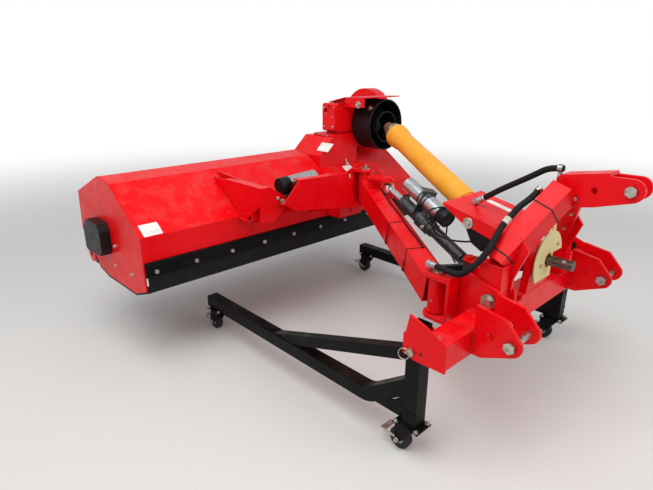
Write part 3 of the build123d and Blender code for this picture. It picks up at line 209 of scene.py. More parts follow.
def join(pieces):
    """Joins pieces into the first one."""
    rest_selection()
    for piece in pieces:
        piece.select_set(True)
    bpy.context.view_layer.objects.active = pieces[0]
    if len(pieces) > 1:
        bpy.ops.object.join()
    return pieces[0]


def turned_to(direction, spin=0.0):
    """The turn that takes +Z to a direction."""
    turn = Vector(direction).normalized().to_track_quat("Z", "Y")
    return turn @ Quaternion((0, 0, 1), spin)


def put(piece, place, way, side=None):
    """Moves a finished mesh so that its Z runs along way and, if given, its X along side."""
    if side is None:
        turn = turned_to(way).to_matrix()
    else:
        z_axis = Vector(way).normalized()
        x_axis = (Vector(side) - z_axis * z_axis.dot(Vector(side))).normalized()
        turn = Matrix((x_axis, z_axis.cross(x_axis), z_axis)).transposed()
    piece.data.transform(Matrix.Translation(place) @ turn.to_4x4())
    return piece


def quarter_turn(piece, axis, place):
    """Turns a mesh by a right angle about an axis, and moves it to a place."""
    piece.data.transform(Matrix.Translation(place) @ Matrix.Rotation(math.pi / 2, 4, axis))
    return piece


Run = namedtuple("Run", "start way side up")


def run_between(first, second, up_hint=UP):
    """A line of the drawing with its two cross directions, for pieces that sit along a beam."""
    way = (Vector(second) - Vector(first)).normalized()
    hint = Vector(up_hint)
    up = (hint - way * hint.dot(way)).normalized()
    return Run(Vector(first), way, way.cross(up), up)


def beside(run, distance, sideways=0.0, height=0.0):
    """A place beside a run, in millimetres of the drawing."""
    return run.start + run.way * distance + run.side * sideways + run.up * height


def along(run, distance, sideways=0.0, height=0.0):
    """A place beside a run, in metres of the frame."""
    return at(*beside(run, distance, sideways, height))


Seen = namedtuple("Seen", "place normal body")


def seen_at(column, row):
    """Where the photograph's view through a pixel first meets the CAD: the place, its normal and its body."""
    eye = at(*CAMERA_PLACE_MM)
    forward = Vector(CAMERA_FORWARD).normalized()
    right = Vector(CAMERA_RIGHT).normalized()
    up = right.cross(forward).normalized()
    away_right = (column - PHOTO_WIDTH / 2) / FOCAL_PIXELS
    away_down = (row - PHOTO_HEIGHT / 2) / FOCAL_PIXELS
    direction = (forward + right * away_right - up * away_down).normalized()
    best = None
    for node in frame["nodes"].values():
        found, place, normal, _ = node.ray_cast(eye, direction)
        distance = (place - eye).length
        if found and (best is None or distance < best[0]):
            best = (distance, Seen(place.copy(), normal.copy(), node["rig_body"]))
    if best is None:
        raise RuntimeError(f"the view through pixel {column}, {row} meets nothing")
    return best[1]


def on_skin(name, place, direction):
    """The place on a CAD node where a line along direction comes in from outside."""
    node = frame["nodes"][name]
    outward = Vector(direction).normalized()
    found, spot, normal, _ = node.ray_cast(at(*place) + outward * RAY_START, -outward)
    if not found:
        raise RuntimeError(f"{name} isn't met at {place}")
    return Seen(spot.copy(), normal.copy(), node["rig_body"])


def copies(template, spots):
    """One piece made of copies of a template, at spots of (place, direction, scale, spin)."""
    made = []
    for place, direction, scale, spin in spots:
        copy = template.copy()
        copy.data = template.data.copy()
        bpy.context.scene.collection.objects.link(copy)
        turn = turned_to(direction, spin).to_matrix().to_4x4()
        copy.data.transform(Matrix.Translation(place) @ turn @ Matrix.Scale(scale, 4))
        made.append(copy)
    bpy.data.objects.remove(template)
    return join(made)


def dress(piece, name, material, body):
    """Gives a finished piece its name, its one material and its body."""
    piece.name = name
    piece.data.name = name
    piece.data.materials.clear()
    piece.data.materials.append(bpy.data.materials[material])
    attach(piece, body)
    return piece


# Fasteners and fittings, each modelled once and copied where it repeats

def hex_head(across, height, washer_radius, washer, stub=0.0):
    """A hex bolt head or nut on a washer, with a bolt end standing out of it by stub."""
    plate = add_disc(washer_radius, 0, washer, 20)
    bevel_edges(plate, washer * 0.3)
    head = add_disc(across / math.sqrt(3), washer, washer + height, 6)
    edit_faces(head, lambda centre, normal: normal.z > 0.9)
    bpy.ops.mesh.inset(thickness=across * 0.07)
    bpy.ops.transform.translate(value=(0, 0, height * 0.10))
    parts = [plate, leave_edit(head)]
    if stub:
        thread = add_disc(across * 0.32, washer, washer + height + stub, 12)
        parts.append(bevel_edges(thread, across * 0.05))
    return leave_edit(join(parts), 25)


def round_head(radius, height):
    """A domed button head with a hex socket sunk in it."""
    head = add_disc(radius, 0, height, 16)
    edit_faces(head, lambda centre, normal: normal.z > 0.9)
    bpy.ops.mesh.bevel(offset=height * 0.45, segments=2, affect="EDGES")
    leave_edit(head)
    edit_faces(head, lambda centre, normal: normal.z > 0.99)
    inset_and_push(radius * 0.30, -height * 0.5)
    return leave_edit(head, 30)


def add_ring(outer, inner, low, high, sides):
    """A flat ring along Z with a hole through it."""
    wall = (outer - inner) * math.cos(math.pi / sides)
    return open_through(add_disc(outer, low, high, sides), wall, 30)


def add_stack(*discs):
    """Round bars on one axis, each given as (radius, low, high, sides, corner), joined."""
    parts = []
    for radius, low, high, sides, corner in discs:
        disc = add_disc(radius, low, high, sides)
        parts.append(bevel_edges(disc, corner) if corner else disc)
    return join(parts)


def strap(width, depth, tie, thickness):
    """A flat tie pulled tight round a box section, with its lock and its cut tail."""
    half = Vector((width / 2 + thickness, depth / 2 + thickness, tie / 2))
    band = bevel_edges(open_through(add_box(-half, half), thickness), thickness * 0.4)
    corner = Vector((-width / 2 - thickness, depth / 2 - 0.008, 0))
    lock = add_box(corner - Vector((0.005, 0.004, tie * 0.8)), corner + Vector((0.001, 0.004, tie * 0.8)))
    bevel_edges(lock, 0.0008)
    tail = add_box(corner - Vector((0.0035, 0.040, tie * 0.45)), corner - Vector((0.0020, 0, -tie * 0.45)))
    return join([band, lock, tail])


def add_cap(radius, low, high, rim):
    """A moulded end cap whose closed end looks along -Z, with a raised rim and a sunk face."""
    cap = add_disc(radius, low, high, 32)
    bevel_edges(cap, rim * 0.35, 2)
    edit_faces(cap, lambda centre, normal: normal.z < -0.99 and abs(centre.z - low) < 1e-5)
    inset_and_push(rim, rim * 0.5)
    inset_and_push(rim * 1.5, -rim * 0.3)
    return leave_edit(cap, 35)


def cable(name, points, radius, body):
    """A held black cord through places of the drawing, with its radius in millimetres."""
    rest_selection()
    curve = bpy.data.curves.new(name, "CURVE")
    curve.dimensions = "3D"
    curve.bevel_depth = radius * MM
    curve.bevel_resolution = 3
    curve.resolution_u = 8
    curve.use_fill_caps = True
    spline = curve.splines.new("NURBS")
    spline.points.add(len(points) - 1)
    for point, place in zip(spline.points, points):
        point.co = (*at(*place), 1)
    spline.order_u = 3
    spline.use_endpoint_u = True
    piece = bpy.data.objects.new(name, curve)
    bpy.context.scene.collection.objects.link(piece)
    return dress(piece, name, "polypropylene_black", body)


def weld_bead(name, node_name, seams, size_mm, material):
    """Rows of overlapping drops on a CAD node, as a welder leaves them along each seam of two ends."""
    node = frame["nodes"][node_name]
    rest_selection()
    bpy.ops.mesh.primitive_uv_sphere_add(segments=8, ring_count=5, radius=size_mm * MM)
    bpy.ops.transform.resize(value=(1.0, 0.75, 0.8))
    drop = applied()
    take(drop)
    bpy.ops.object.shade_smooth()
    spots = []
    for first, second in seams:
        start, end = Vector(first), Vector(second)
        count = max(2, round((end - start).length / (size_mm * 0.8)))
        for number in range(count + 1):
            wobble = 1 + 0.16 * math.sin(number * 2.4 + start.x)
            _, place, _, _ = node.closest_point_on_mesh(at(*start.lerp(end, number / count)))
            spots.append((place, end - start, wobble, 0.0))
    return dress(copies(drop, spots), name, material, node["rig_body"])


def label(name, spot, width, height, side):
    """A blank sticker with round corners, lying on a face with its width along side."""
    sheet = add_box((-width / 2, -height / 2, -0.0002), (width / 2, height / 2, 0.0004))
    bevel = sheet.modifiers.new("corner", "BEVEL")
    bevel.width = 0.004
    bevel.segments = 4
    bevel.affect = "EDGES"
    bevel.limit_method = "WEIGHT"
    weights = sheet.data.attributes.new("bevel_weight_edge", "FLOAT", "EDGE")
    for edge in sheet.data.edges:
        ends = [sheet.data.vertices[index].co for index in edge.vertices]
        weights.data[edge.index].value = 1.0 if abs(ends[0].z - ends[1].z) > 1e-5 else 0.0
    take(sheet)
    bpy.ops.object.modifier_apply(modifier=bevel.name)
    put(sheet, spot.place, spot.normal, side)
    return dress(sheet, name, "vinyl_label_blank", spot.body)


# Materials

def add_node(tree, kind, inputs=None, **settings):
    """Adds one node with its settings and inputs.

    An input is a value, a node whose first live output is linked to it, or a node with an output's name.
    """
    node = tree.nodes.new(kind)
    for key, value in settings.items():
        setattr(node, key, value)
    for key, value in (inputs or {}).items():
        if isinstance(value, bpy.types.Node):
            value = (value, next(output.name for output in value.outputs if output.enabled))
        if isinstance(value, tuple) and isinstance(value[0], bpy.types.Node):
            tree.links.new(value[0].outputs[value[1]], node.inputs[key])
        else:
            node.inputs[key].default_value = value
    return node


def new_tree(name):
    """The empty node tree of a new material."""
    material = bpy.data.materials.new(name)
    material.use_nodes = True
    material.node_tree.nodes.clear()
    return material.node_tree


def add_shader(tree, inputs):
    """Adds the shader and links it to the material's output."""
    shader = add_node(tree, "ShaderNodeBsdfPrincipled", inputs)
    add_node(tree, "ShaderNodeOutputMaterial", {"Surface": shader})


SOFT_STEP = {"kind": "ShaderNodeMapRange", "interpolation_type": "SMOOTHSTEP"}


def between(value, low, high, at_low=0.0, at_high=1.0):
    """The inputs of a soft step, which goes from at_low to at_high while a value goes from low to high."""
    return {"Value": value, "From Min": low, "From Max": high, "To Min": at_low, "To Max": at_high}


def blotches(tree, size_mm, detail, roughness, *steps, stretch=None):
    """Noise on Object coordinates whose blotches are about size_mm across, and a soft step for each step."""
    place = (add_node(tree, "ShaderNodeTexCoord"), "Object")
    if stretch:
        place = add_node(tree, "ShaderNodeMapping", {"Vector": place, "Scale": stretch})
    noise = add_node(
        tree, "ShaderNodeTexNoise",
        {"Vector": place, "Scale": 1 / (size_mm * MM), "Detail": detail, "Roughness": roughness},
    )
    return [noise, *(add_node(tree, inputs=between(noise, *step), **SOFT_STEP) for step in steps)]


def lay_over(tree, below, colour, *factors):
    """Lays a colour over what is below, as far as the product of the factors, and returns both.

    A factor is a mask or a number, and the first one is a mask.
    """
    mask = factors[0]
    for factor in factors[1:]:
        mask = add_node(tree, "ShaderNodeMath", {0: mask, 1: factor}, operation="MULTIPLY")
    mix = add_node(tree, "ShaderNodeMix", {"Factor": mask, "A": below, "B": linear(colour)}, data_type="RGBA")
    return mix, mask


def surface_masks(tree, edge_mm):
    """How level a face lies, how near an outer corner is, and the normal rounded at the corners."""
    normal = (add_node(tree, "ShaderNodeNewGeometry"), "Normal")
    split = add_node(tree, "ShaderNodeSeparateXYZ", {"Vector": normal})
    upward = add_node(tree, inputs=between((split, "Z"), 0.35, 0.95), **SOFT_STEP)
    rounded = add_node(tree, "ShaderNodeBevel", {"Radius": edge_mm * MM}, samples=4)
    match = add_node(tree, "ShaderNodeVectorMath", {0: normal, 1: rounded}, operation="DOT_PRODUCT")
    edge = add_node(tree, inputs=between(match, 0.93, 0.999, 1.0, 0.0), **SOFT_STEP)
    return upward, edge, rounded


def paint(name, colour, faded, chip, shade_and_grime, dust, coat, chips=0.6, rough=0.28, gloss=0.18):
    """Sprayed enamel on steel.

    The eye sees an even bright coat with a faint orange peel, paler where the sky has faded it, dusty
    on level faces, darkened in the corners with painted shade and grime, and worn through to primer along its
    edges.
    """
    tree = new_tree(name)
    upward, edge, rounded = surface_masks(tree, 1.6)
    _, fading = blotches(tree, 320, 4, 0.55, (0.35, 0.75))
    coat_colour, _ = lay_over(tree, linear(colour), faded, fading)
    # Dust lies on level faces in patches a hand wide, with a grain that a broom would leave.
    _, dust_patch = blotches(tree, 60, 8, 0.7, (0.42, 0.72))
    dusty, dust_mask = lay_over(tree, coat_colour, "#A98A7E", dust_patch, upward, dust)
    # Painted shade, broken into patches of grime, darkens the inner corners as wide as a finger.
    shut = add_node(tree, "ShaderNodeAmbientOcclusion", {"Distance": 0.03}, samples=4)
    corner = add_node(tree, inputs=between((shut, "AO"), 0.25, 0.85, 1.0, 0.0), **SOFT_STEP)
    _, shade_and_grime_patch = blotches(tree, 18, 6, 0.7, (0.35, 0.7))
    shaded_and_grimy, shade_and_grime_mask = lay_over(tree, dusty, shade_and_grime, corner, shade_and_grime_patch, 0.75)
    # Chips of a few millimetres along outer corners, and fine scratches drawn coarse enough to show.
    _, chip_patch = blotches(tree, 9, 5, 0.75, (0.52, 0.60))
    chipped = add_node(tree, "ShaderNodeMath", {0: edge, 1: chip_patch}, operation="MULTIPLY")
    _, scratched = blotches(tree, 40, 2, 0.5, (0.695, 0.73, 0.0, 0.45), stretch=(0.7, 14.0, 9.0))
    worn = add_node(tree, "ShaderNodeMath", {0: chipped, 1: scratched}, operation="MAXIMUM")
    final, _ = lay_over(tree, shaded_and_grimy, chip, worn, chips)
    # Roughness goes up under dust, and in the corners under the painted shade and grime.
    _, rough_base = blotches(tree, 45, 5, 0.55, (0.3, 0.7, rough - 0.06, rough + 0.10))
    dull = add_node(tree, "ShaderNodeMath", {0: dust_mask, 1: shade_and_grime_mask}, operation="ADD")
    rougher = add_node(tree, "ShaderNodeMath", {0: dull, 1: 0.6, 2: rough_base},
                       operation="MULTIPLY_ADD", use_clamp=True)
    # Orange peel of a sprayed coat, about 2 mm from hump to hump.
    peel, = blotches(tree, 2.2, 2, 0.55)
    bump = add_node(tree, "ShaderNodeBump",
                    {"Strength": 0.10, "Distance": 0.0006, "Height": peel, "Normal": rounded})
    add_shader(tree, {
        "Base Color": final, "Roughness": rougher, "Normal": bump, "Specular IOR Level": gloss,
        "Coat Weight": coat, "Coat Roughness": 0.12,
    })


def metal(name, colour, stain, rust, rust_share, rough, metallic=1.0):
    """Bare or plated steel and aluminium.

    The eye sees a broken, slightly grainy gloss with a painted highlight along every edge, dull stains, and
    rust where water stands.
    """
    tree = new_tree(name)
    _, edge, rounded = surface_masks(tree, 0.8)
    _, staining = blotches(tree, 14, 6, 0.65, (0.38, 0.7))
    stained, _ = lay_over(tree, linear(colour), stain, staining)
    rust_from, rust_to = 0.66 - rust_share, 0.74 - rust_share * 0.8
    _, rusting, metal_share = blotches(
        tree, 7, 8, 0.75, (rust_from, rust_to), (rust_from, rust_to, metallic, 0.0))
    rusty, _ = lay_over(tree, stained, rust, rusting)
    # Every outer edge is evenly lightened: a painted highlight along the edges.
    final, _ = lay_over(tree, rusty, "#D8D6D0", edge, 0.35)
    grain, roughness = blotches(tree, 1.2, 3, 0.6, (0.3, 0.7, rough - 0.08, rough + 0.12))
    rust_rough = add_node(tree, "ShaderNodeMath", {0: rusting, 1: 0.4, 2: roughness},
                          operation="MULTIPLY_ADD", use_clamp=True)
    bump = add_node(tree, "ShaderNodeBump",
                    {"Strength": 0.15, "Distance": 0.0004, "Height": grain, "Normal": rounded})
    add_shader(tree, {
        "Base Color": final, "Roughness": rust_rough, "Metallic": metal_share, "Normal": bump,
    })


def moulded(name, colour, second, dirt, rough, grain_mm, bump_mm, dirt_share):
    """Moulded plastic and rubber.

    The eye sees a soft even colour with a fine mould grain, scuffed paler at its corners and dusty.
    """
    tree = new_tree(name)
    upward, edge, rounded = surface_masks(tree, 1.5)
    _, tone = blotches(tree, 90, 4, 0.55, (0.3, 0.7))
    toned, _ = lay_over(tree, linear(colour), second, tone)
    _, dirt_patch, roughness = blotches(
        tree, 22, 8, 0.7, (0.45, 0.75), (0.3, 0.75, rough - 0.05, rough + 0.18))
    lying = add_node(tree, "ShaderNodeMath", {0: upward, 1: 0.7, 2: 0.3}, operation="MULTIPLY_ADD")
    dirty, _ = lay_over(tree, toned, dirt, dirt_patch, lying, dirt_share)
    _, scuff_patch = blotches(tree, 6, 4, 0.55, (0.45, 0.62))
    final, _ = lay_over(tree, dirty, "#8E8A84", edge, scuff_patch, 0.35)
    grain, = blotches(tree, grain_mm, 3, 0.55)
    bump = add_node(tree, "ShaderNodeBump",
                    {"Strength": 0.25, "Distance": bump_mm * MM, "Height": grain, "Normal": rounded})
    add_shader(tree, {
        "Base Color": final, "Roughness": roughness, "Normal": bump, "Specular IOR Level": 0.22,
    })


def make_materials(finish):
    """Makes every finish of the machine once."""
    # In each paint, the fourth colour is the painted shade of the inner corners, mixed with grime.
    # Gloss enamel: a saturated red, a shade paler in broad patches.
    paint("red_enamel_sprayed", finish.red, "#EA0A14", "#4A1512", "#240404", dust=0.10, coat=0.03)
    # The same enamel on the deck, which branches and hands have scuffed and rain has left dusty.
    paint("red_enamel_scuffed", finish.red, "#EA1018", "#7A3A34", "#240404", dust=0.15, coat=0.0, chips=1.0)
    # Satin black paint on square tube: near black, grey with dust, brown at its scratched corners.
    paint("black_enamel_satin", finish.black, "#0E0E10", "#5E4C40", "#030303", dust=0.05, coat=0.0,
          chips=0.5, rough=0.40, gloss=0.12)
    # Cream enamel: chalky, with dark finger marks, painted shade and grime in its corners, and scratches.
    paint("cream_enamel_matt", "#E6D69C", "#D9C88E", "#6B5B40", "#5A4A30", dust=0.15, coat=0.0,
          chips=0.9, rough=0.45)
    # Zinc plate: pale, slightly yellow, going dull in spots.
    metal("steel_zinc_plated", "#C9C4B8", "#8F8A7E", "#6B4326", 0.02, 0.34)
    # Turned and worn steel: dark oil film with brown rust.
    metal("steel_bare_oiled", "#7C756D", "#4A433D", "#6A4128", 0.14, 0.42)
    # Rust-brown bare shaft, as a sliding drive tube turns after one wet season.
    metal("steel_rusted", "#7A5138", "#55341F", "#8A5230", 0.28, 0.62, metallic=0.6)
    # Hard chrome rod: nearly a mirror, a little cloudy.
    metal("steel_hard_chrome", "#E2E4E6", "#C4C6C8", "#8A7A6A", -0.2, 0.14)
    # Natural aluminium housing of a motor: light grey with a satin grain.
    metal("aluminium_brushed", "#D3D5D6", "#B4B6B8", "#8E8A84", -0.2, 0.30)
    # Hard-anodised dark grey tube and die-cast housing.
    metal("aluminium_dark_anodised", "#55585B", "#37393B", "#2A2A2A", 0.0, 0.42, metallic=0.75)
    # Rubber sheet and hose: dull black that dust turns grey.
    moulded("rubber_black_sheet", "#0D0D0E", "#151516", "#4E4740", 0.60, 3.0, 0.25, 0.30)
    # Injection-moulded black polypropylene.
    moulded("polypropylene_black", "#0E0E10", "#17171A", "#4A4642", 0.36, 1.2, 0.06, 0.25)
    # Blow-moulded guard: orange-yellow polyethylene, a little deeper in patches, dusty on top.
    moulded("polyethylene_guard_yellow", finish.guard, "#F2A42E", "#8A5A24", 0.34, 1.6, 0.10, 0.22)
    # Cast polyurethane caster tread.
    moulded("polyurethane_tread", "#1D1D1F", "#29292A", "#6A625A", 0.5, 2.0, 0.15, 0.5)
    # White vinyl label with nothing on it: flat, slightly soiled.
    moulded("vinyl_label_blank", "#F1EFEA", "#E2DFD8", "#8E8478", 0.30, 30.0, 0.01, 0.35)
    # Woven cloth tape and nylon.
    moulded("nylon_natural", "#D8D4C8", "#C8C2B4", "#6E665A", 0.55, 1.0, 0.10, 0.4)


CAD_FINISHES = {
    "red_enamel_sprayed": (
        "crossbeam", "hitch_plates", "mast", "bearing_housing", "joint_cover", "arm_carrier", "swing_arm",
        "parallel_link", "yoke", "bulkhead", "roller_brackets", "deck_bracket", "tilt_guard", "tilt_bracket",
        "gearbox", "gearbox_roof",
    ),
    "red_enamel_scuffed": ("deck_hood", "deck_end_outer", "deck_end_inner", "pedestal", "belt_case"),
    "black_enamel_satin": (
        "stand_right", "stand_left", "caster_fork_right_front", "caster_fork_left_front",
        "caster_fork_right_rear", "caster_fork_left_rear", "runners", "rear_roller", "flap_strip",
    ),
    "cream_enamel_matt": ("input_shield_plate",),
    "steel_zinc_plated": ("hitch_pins", "top_link_pin", "carrier_pins", "stand_pins", "yoke_pins"),
    "steel_bare_oiled": ("input_shaft", "drive_cross", "rotor"),
    "steel_rusted": ("drive_shaft_rear",),
    "steel_hard_chrome": ("slide_rod", "tilt_rod"),
    "aluminium_brushed": ("slide_motor", "tilt_motor"),
    "aluminium_dark_anodised": ("slide_actuator", "tilt_actuator"),
    "rubber_black_sheet": ("joint_skirts", "front_flaps", "upper_hose", "lower_hose"),
    "polypropylene_black": ("bearing_cover", "shield", "joint_bell"),
    "polyethylene_guard_yellow": ("drive_guard_front", "drive_guard_rear"),
    "polyurethane_tread": (
        "caster_wheel_right_front", "caster_wheel_left_front", "caster_wheel_right_rear",
        "caster_wheel_left_rear",
    ),
}


class MowerFinish(bpy.types.PropertyGroup):
    """Colours of the machine."""

    red: StringProperty(
        name="Red paint", description="sRGB hex colour of the sheet metal", default="#E4020E")
    black: StringProperty(
        name="Black paint", description="sRGB hex colour of the stand", default="#070708")
    guard: StringProperty(
        name="Guard plastic", description="sRGB hex colour of the drive line's guard", default="#F7AE3B")


class MowerFasteners(bpy.types.PropertyGroup):
    """Sizes of the bolts that are repeated along the machine."""

    flap_bolt_across: FloatProperty(
        name="Flap bolt", description="Width across flats of the flap bolts", default=0.013,
        subtype="DISTANCE", unit="LENGTH")
    flap_bolt_pitch: FloatProperty(
        name="Flap bolt spacing", description="From one flap bolt to the next", default=0.1686,
        subtype="DISTANCE", unit="LENGTH")
    flap_bolt_count: IntProperty(
        name="Flap bolts", description="How many bolts hold the flap strip", default=10, min=2)


class MowerStage(bpy.types.PropertyGroup):
    """Light and floor."""

    sky_strength: FloatProperty(
        name="Sky", description="Strength of the soft light from all round", default=0.62, min=0)
    key_power: FloatProperty(
        name="Key light", description="Power of the lamp above the machine's right side", default=80,
        min=0, unit="POWER")
    floor_colour: FloatVectorProperty(
        name="Floor", description="Colour of the floor", default=linear("#DCDAD6"), size=4,
        subtype="COLOR", min=0, max=1)


class MOWER_OT_materials(bpy.types.Operator):
    """Make the finishes and put them on the CAD nodes"""

    bl_idname = "mower.materials"
    bl_label = "Finishes"

    def execute(self, context):
        make_materials(context.scene.mower_finish)
        for material, nodes in CAD_FINISHES.items():
            for node in nodes:
                for slot in frame["nodes"][node].material_slots:
                    slot.material = bpy.data.materials[material]
        return {"FINISHED"}


# The flap strip's rolled upper edge: the height and radius of two beads along its whole length.
FLAP_BEADS = ((461.0, 3.4), (451.5, 2.6))


class MOWER_OT_flap_bolts(bpy.types.Operator):
    """Bolt heads and rolled beads along the strip that holds the front flaps"""

    bl_idname = "mower.flap_bolts"
    bl_label = "Flap bolts"

    def execute(self, context):
        sizes = context.scene.mower_fasteners
        bolt = hex_head(sizes.flap_bolt_across, height=0.006, washer_radius=0.0085, washer=0.0016)
        spots = []
        for number in range(sizes.flap_bolt_count):
            x = FLAP_BOLT_START_X - number * sizes.flap_bolt_pitch / MM
            spots.append((at(x, FLAP_BOLT_Y, FLAP_BOLT_Z), FRONT, 1.0, number * 0.7))
        dress(copies(bolt, spots), "flap_bolts", "steel_zinc_plated", "deck")
        beads = []
        for height, radius in FLAP_BEADS:
            bead = bevel_edges(add_disc(radius * MM, 0, FLAP_BEAD_LENGTH * MM, 14), 0.001)
            beads.append(put(bead, at(FLAP_BEAD_START_X, FLAP_BOLT_Y + FLAP_BEAD_PROUD, height), LEFT))
        dress(join(beads), "flap_strip_beads", "black_enamel_satin", "deck")
        return {"FINISHED"}


# Bolts that the photograph shows, on the CAD face under each pixel, with their width across flats.
SeenBolts = namedtuple("SeenBolts", "kind across pixels")
SEEN_BOLTS = (
    SeenBolts("hex", 10, (
        (540.2, 266.1), (557.5, 243.7), (563.6, 262.0), (575.0, 199.0), (571.0, 214.0), (563.5, 228.0))),
    SeenBolts("hex", 19, ((283.0, 201.7),)),
    SeenBolts("hex", 13, ((277.9, 198.2), (114.9, 246.3), (116.9, 264.8))),
    SeenBolts("hex", 7, ((316.6, 133.0), (319.2, 133.7), (321.8, 134.4), (324.4, 135.1), (327.0, 135.8))),
    SeenBolts("washer", 15, ((468.0, 223.2),)),
    SeenBolts("washer", 13, ((358.2, 104.9), (370.3, 107.8))),
    SeenBolts("button", 8, ((431.0, 300.5), (95.8, 184.2), (326.4, 113.6), (331.8, 117.0), (334.0, 107.5))),
)

# Bolts on faces that the photograph hides, from symmetry and from how such a machine is put together.
SkinBolt = namedtuple("SkinBolt", "node place outward across")
SKIN_BOLTS = (
    SkinBolt("mast", (-229, -117, 475), FRONT, 13),
    SkinBolt("mast", (-229, -117, 565), FRONT, 13),
    SkinBolt("mast", (-262, -155, 520), LEFT, 13),
    SkinBolt("crossbeam", (527, -150, 440), UP, 15),
    SkinBolt("crossbeam", (-527, -150, 440), UP, 15),
    SkinBolt("mast", (-196, -150, 480), RIGHT, 10),
    SkinBolt("mast", (-196, -150, 552), RIGHT, 10),
    SkinBolt("slide_actuator", (13, -560, 571), (0.97, -0.24, 0), 15),
    SkinBolt("deck_end_outer", (897, -1300, 392), RIGHT, 13),
    SkinBolt("belt_case", (-703, -1500, 1015), LEFT, 8),
    SkinBolt("belt_case", (-703, -1395, 900), LEFT, 8),
    SkinBolt("belt_case", (-703, -1605, 900), LEFT, 8),
    SkinBolt("bearing_housing", (0, -136, 605), BACK, 13),
    SkinBolt("gearbox", (-256, -1438, 862), RIGHT, 10),
    SkinBolt("gearbox", (-256, -1374, 862), RIGHT, 10),
    SkinBolt("gearbox", (-256, -1438, 955), RIGHT, 10),
)

# The width across flats of the bolt that is modelled, in millimetres. The others are scaled from it.
BOLT_ACROSS_MM = 13


class MOWER_OT_bolts(bpy.types.Operator):
    """Bolt heads, nuts and washers, one piece for each body and kind"""

    bl_idname = "mower.bolts"
    bl_label = "Bolts"

    def execute(self, context):
        groups = {}
        for row in SEEN_BOLTS:
            for pixel in row.pixels:
                spot = seen_at(*pixel)
                groups.setdefault((spot.body, row.kind), []).append((spot, row.across))
        for row in SKIN_BOLTS:
            spot = on_skin(row.node, row.place, row.outward)
            groups.setdefault((spot.body, "hex"), []).append((spot, row.across))
        for number, ((body, kind), found) in enumerate(sorted(groups.items())):
            spots = []
            for turn, (spot, across) in enumerate(found):
                spots.append((spot.place, spot.normal, across / BOLT_ACROSS_MM, turn * 0.9 + number))
            dress(copies(self.template(kind), spots), f"bolts_{kind}_{body}", "steel_zinc_plated", body)
        return {"FINISHED"}

    def template(self, kind):
        """The bolt of a kind: on a plain washer, with a round head, or on a wide washer."""
        if kind == "hex":
            return hex_head(across=0.013, height=0.0055, washer_radius=0.0085, washer=0.0016, stub=0.0015)
        if kind == "button":
            return round_head(radius=0.0065, height=0.004)
        return hex_head(across=0.013, height=0.006, washer_radius=0.0170, washer=0.0024)


# Small black plastic plugs by pixel, with their radius in millimetres.
Plug = namedtuple("Plug", "column row radius")
PLUGS = (Plug(329.0, 106.2, 6.0), Plug(420.5, 354.5, 4.5))


class MOWER_OT_plugs(bpy.types.Operator):
    """Black plastic plugs of the gearbox and the stand socket"""

    bl_idname = "mower.plugs"
    bl_label = "Plugs"

    def execute(self, context):
        groups = {}
        for plug in PLUGS:
            spot = seen_at(plug.column, plug.row)
            groups.setdefault(spot.body, []).append((spot.place, spot.normal, plug.radius / 6, 0.0))
        for body, spots in groups.items():
            head = round_head(radius=0.006, height=0.0022)
            dress(copies(head, spots), "plugs_" + body, "polypropylene_black", body)
        return {"FINISHED"}


# Blank stickers by pixel: their middle, their width and height, and the direction of their width.
Sticker = namedtuple("Sticker", "name column row width height side")
STICKERS = (
    Sticker("label_hood_outer", 150.5, 229.5, 0.075, 0.058, RIGHT),
    Sticker("label_pedestal", 325.0, 147.2, 0.085, 0.055, FRONT),
    Sticker("label_hood_slope", 348.5, 168.6, 0.060, 0.048, RIGHT),
    Sticker("flap_edge_strip", 147.5, 281.0, 0.006, 0.046, RIGHT),
    Sticker("label_cover_roof", 500.0, 206.0, 0.100, 0.030, FRONT),
)


class MOWER_OT_labels(bpy.types.Operator):
    """Blank white stickers"""

    bl_idname = "mower.labels"
    bl_label = "Labels"

    def execute(self, context):
        for row in STICKERS:
            label(row.name, seen_at(row.column, row.row), row.width, row.height, row.side)
        return {"FINISHED"}


class MOWER_OT_ties(bpy.types.Operator):
    """Black cable ties round the swing arm and the mast's right leg"""

    bl_idname = "mower.ties"
    bl_label = "Cable ties"

    def execute(self, context):
        arm = run_between(ARM_FRONT, ARM_REAR)
        leg = run_between(LEG_KNEE, LEG_TOP)
        arm_size, leg_size = (ARM_WIDTH, ARM_DEPTH), (LEG_WIDTH, LEG_DEPTH)
        for name, run, distance, (width, depth), side, body in (
            ("arm_tie_front", arm, 205, arm_size, arm.side, "swing_arm"),
            ("arm_tie_rear", arm, 395, arm_size, arm.side, "swing_arm"),
            ("leg_tie_low", leg, 28, leg_size, FRONT, "hitch_frame"),
            ("leg_tie_high", leg, 215, leg_size, FRONT, "hitch_frame"),
        ):
            tie = strap(width * MM, depth * MM, tie=0.0048, thickness=0.0013)
            dress(put(tie, along(run, distance), run.way, side), name, "polypropylene_black", body)
        return {"FINISHED"}


# The slide motor's clamp, in metres: half its width, the foot on the tube, its sheet and its lip.
CLAMP_HALF, CLAMP_FOOT, CLAMP_SHEET = 0.037, 0.068, 0.003
CLAMP_LIP_EDGE, CLAMP_LIP_HEIGHT = 0.040, 0.030

# The motors' cables, by their distance along the actuator, sideways and up from it.
SLIDE_CABLE = ((210, 34, 50), (206, 52, 30), (190, 54, -6), (150, 40, -26), (96, 24, -34), (60, 6, -34))
TILT_CABLE = ((208, 20, 66), (240, 30, 60), (290, 34, 44), (322, 30, 36))


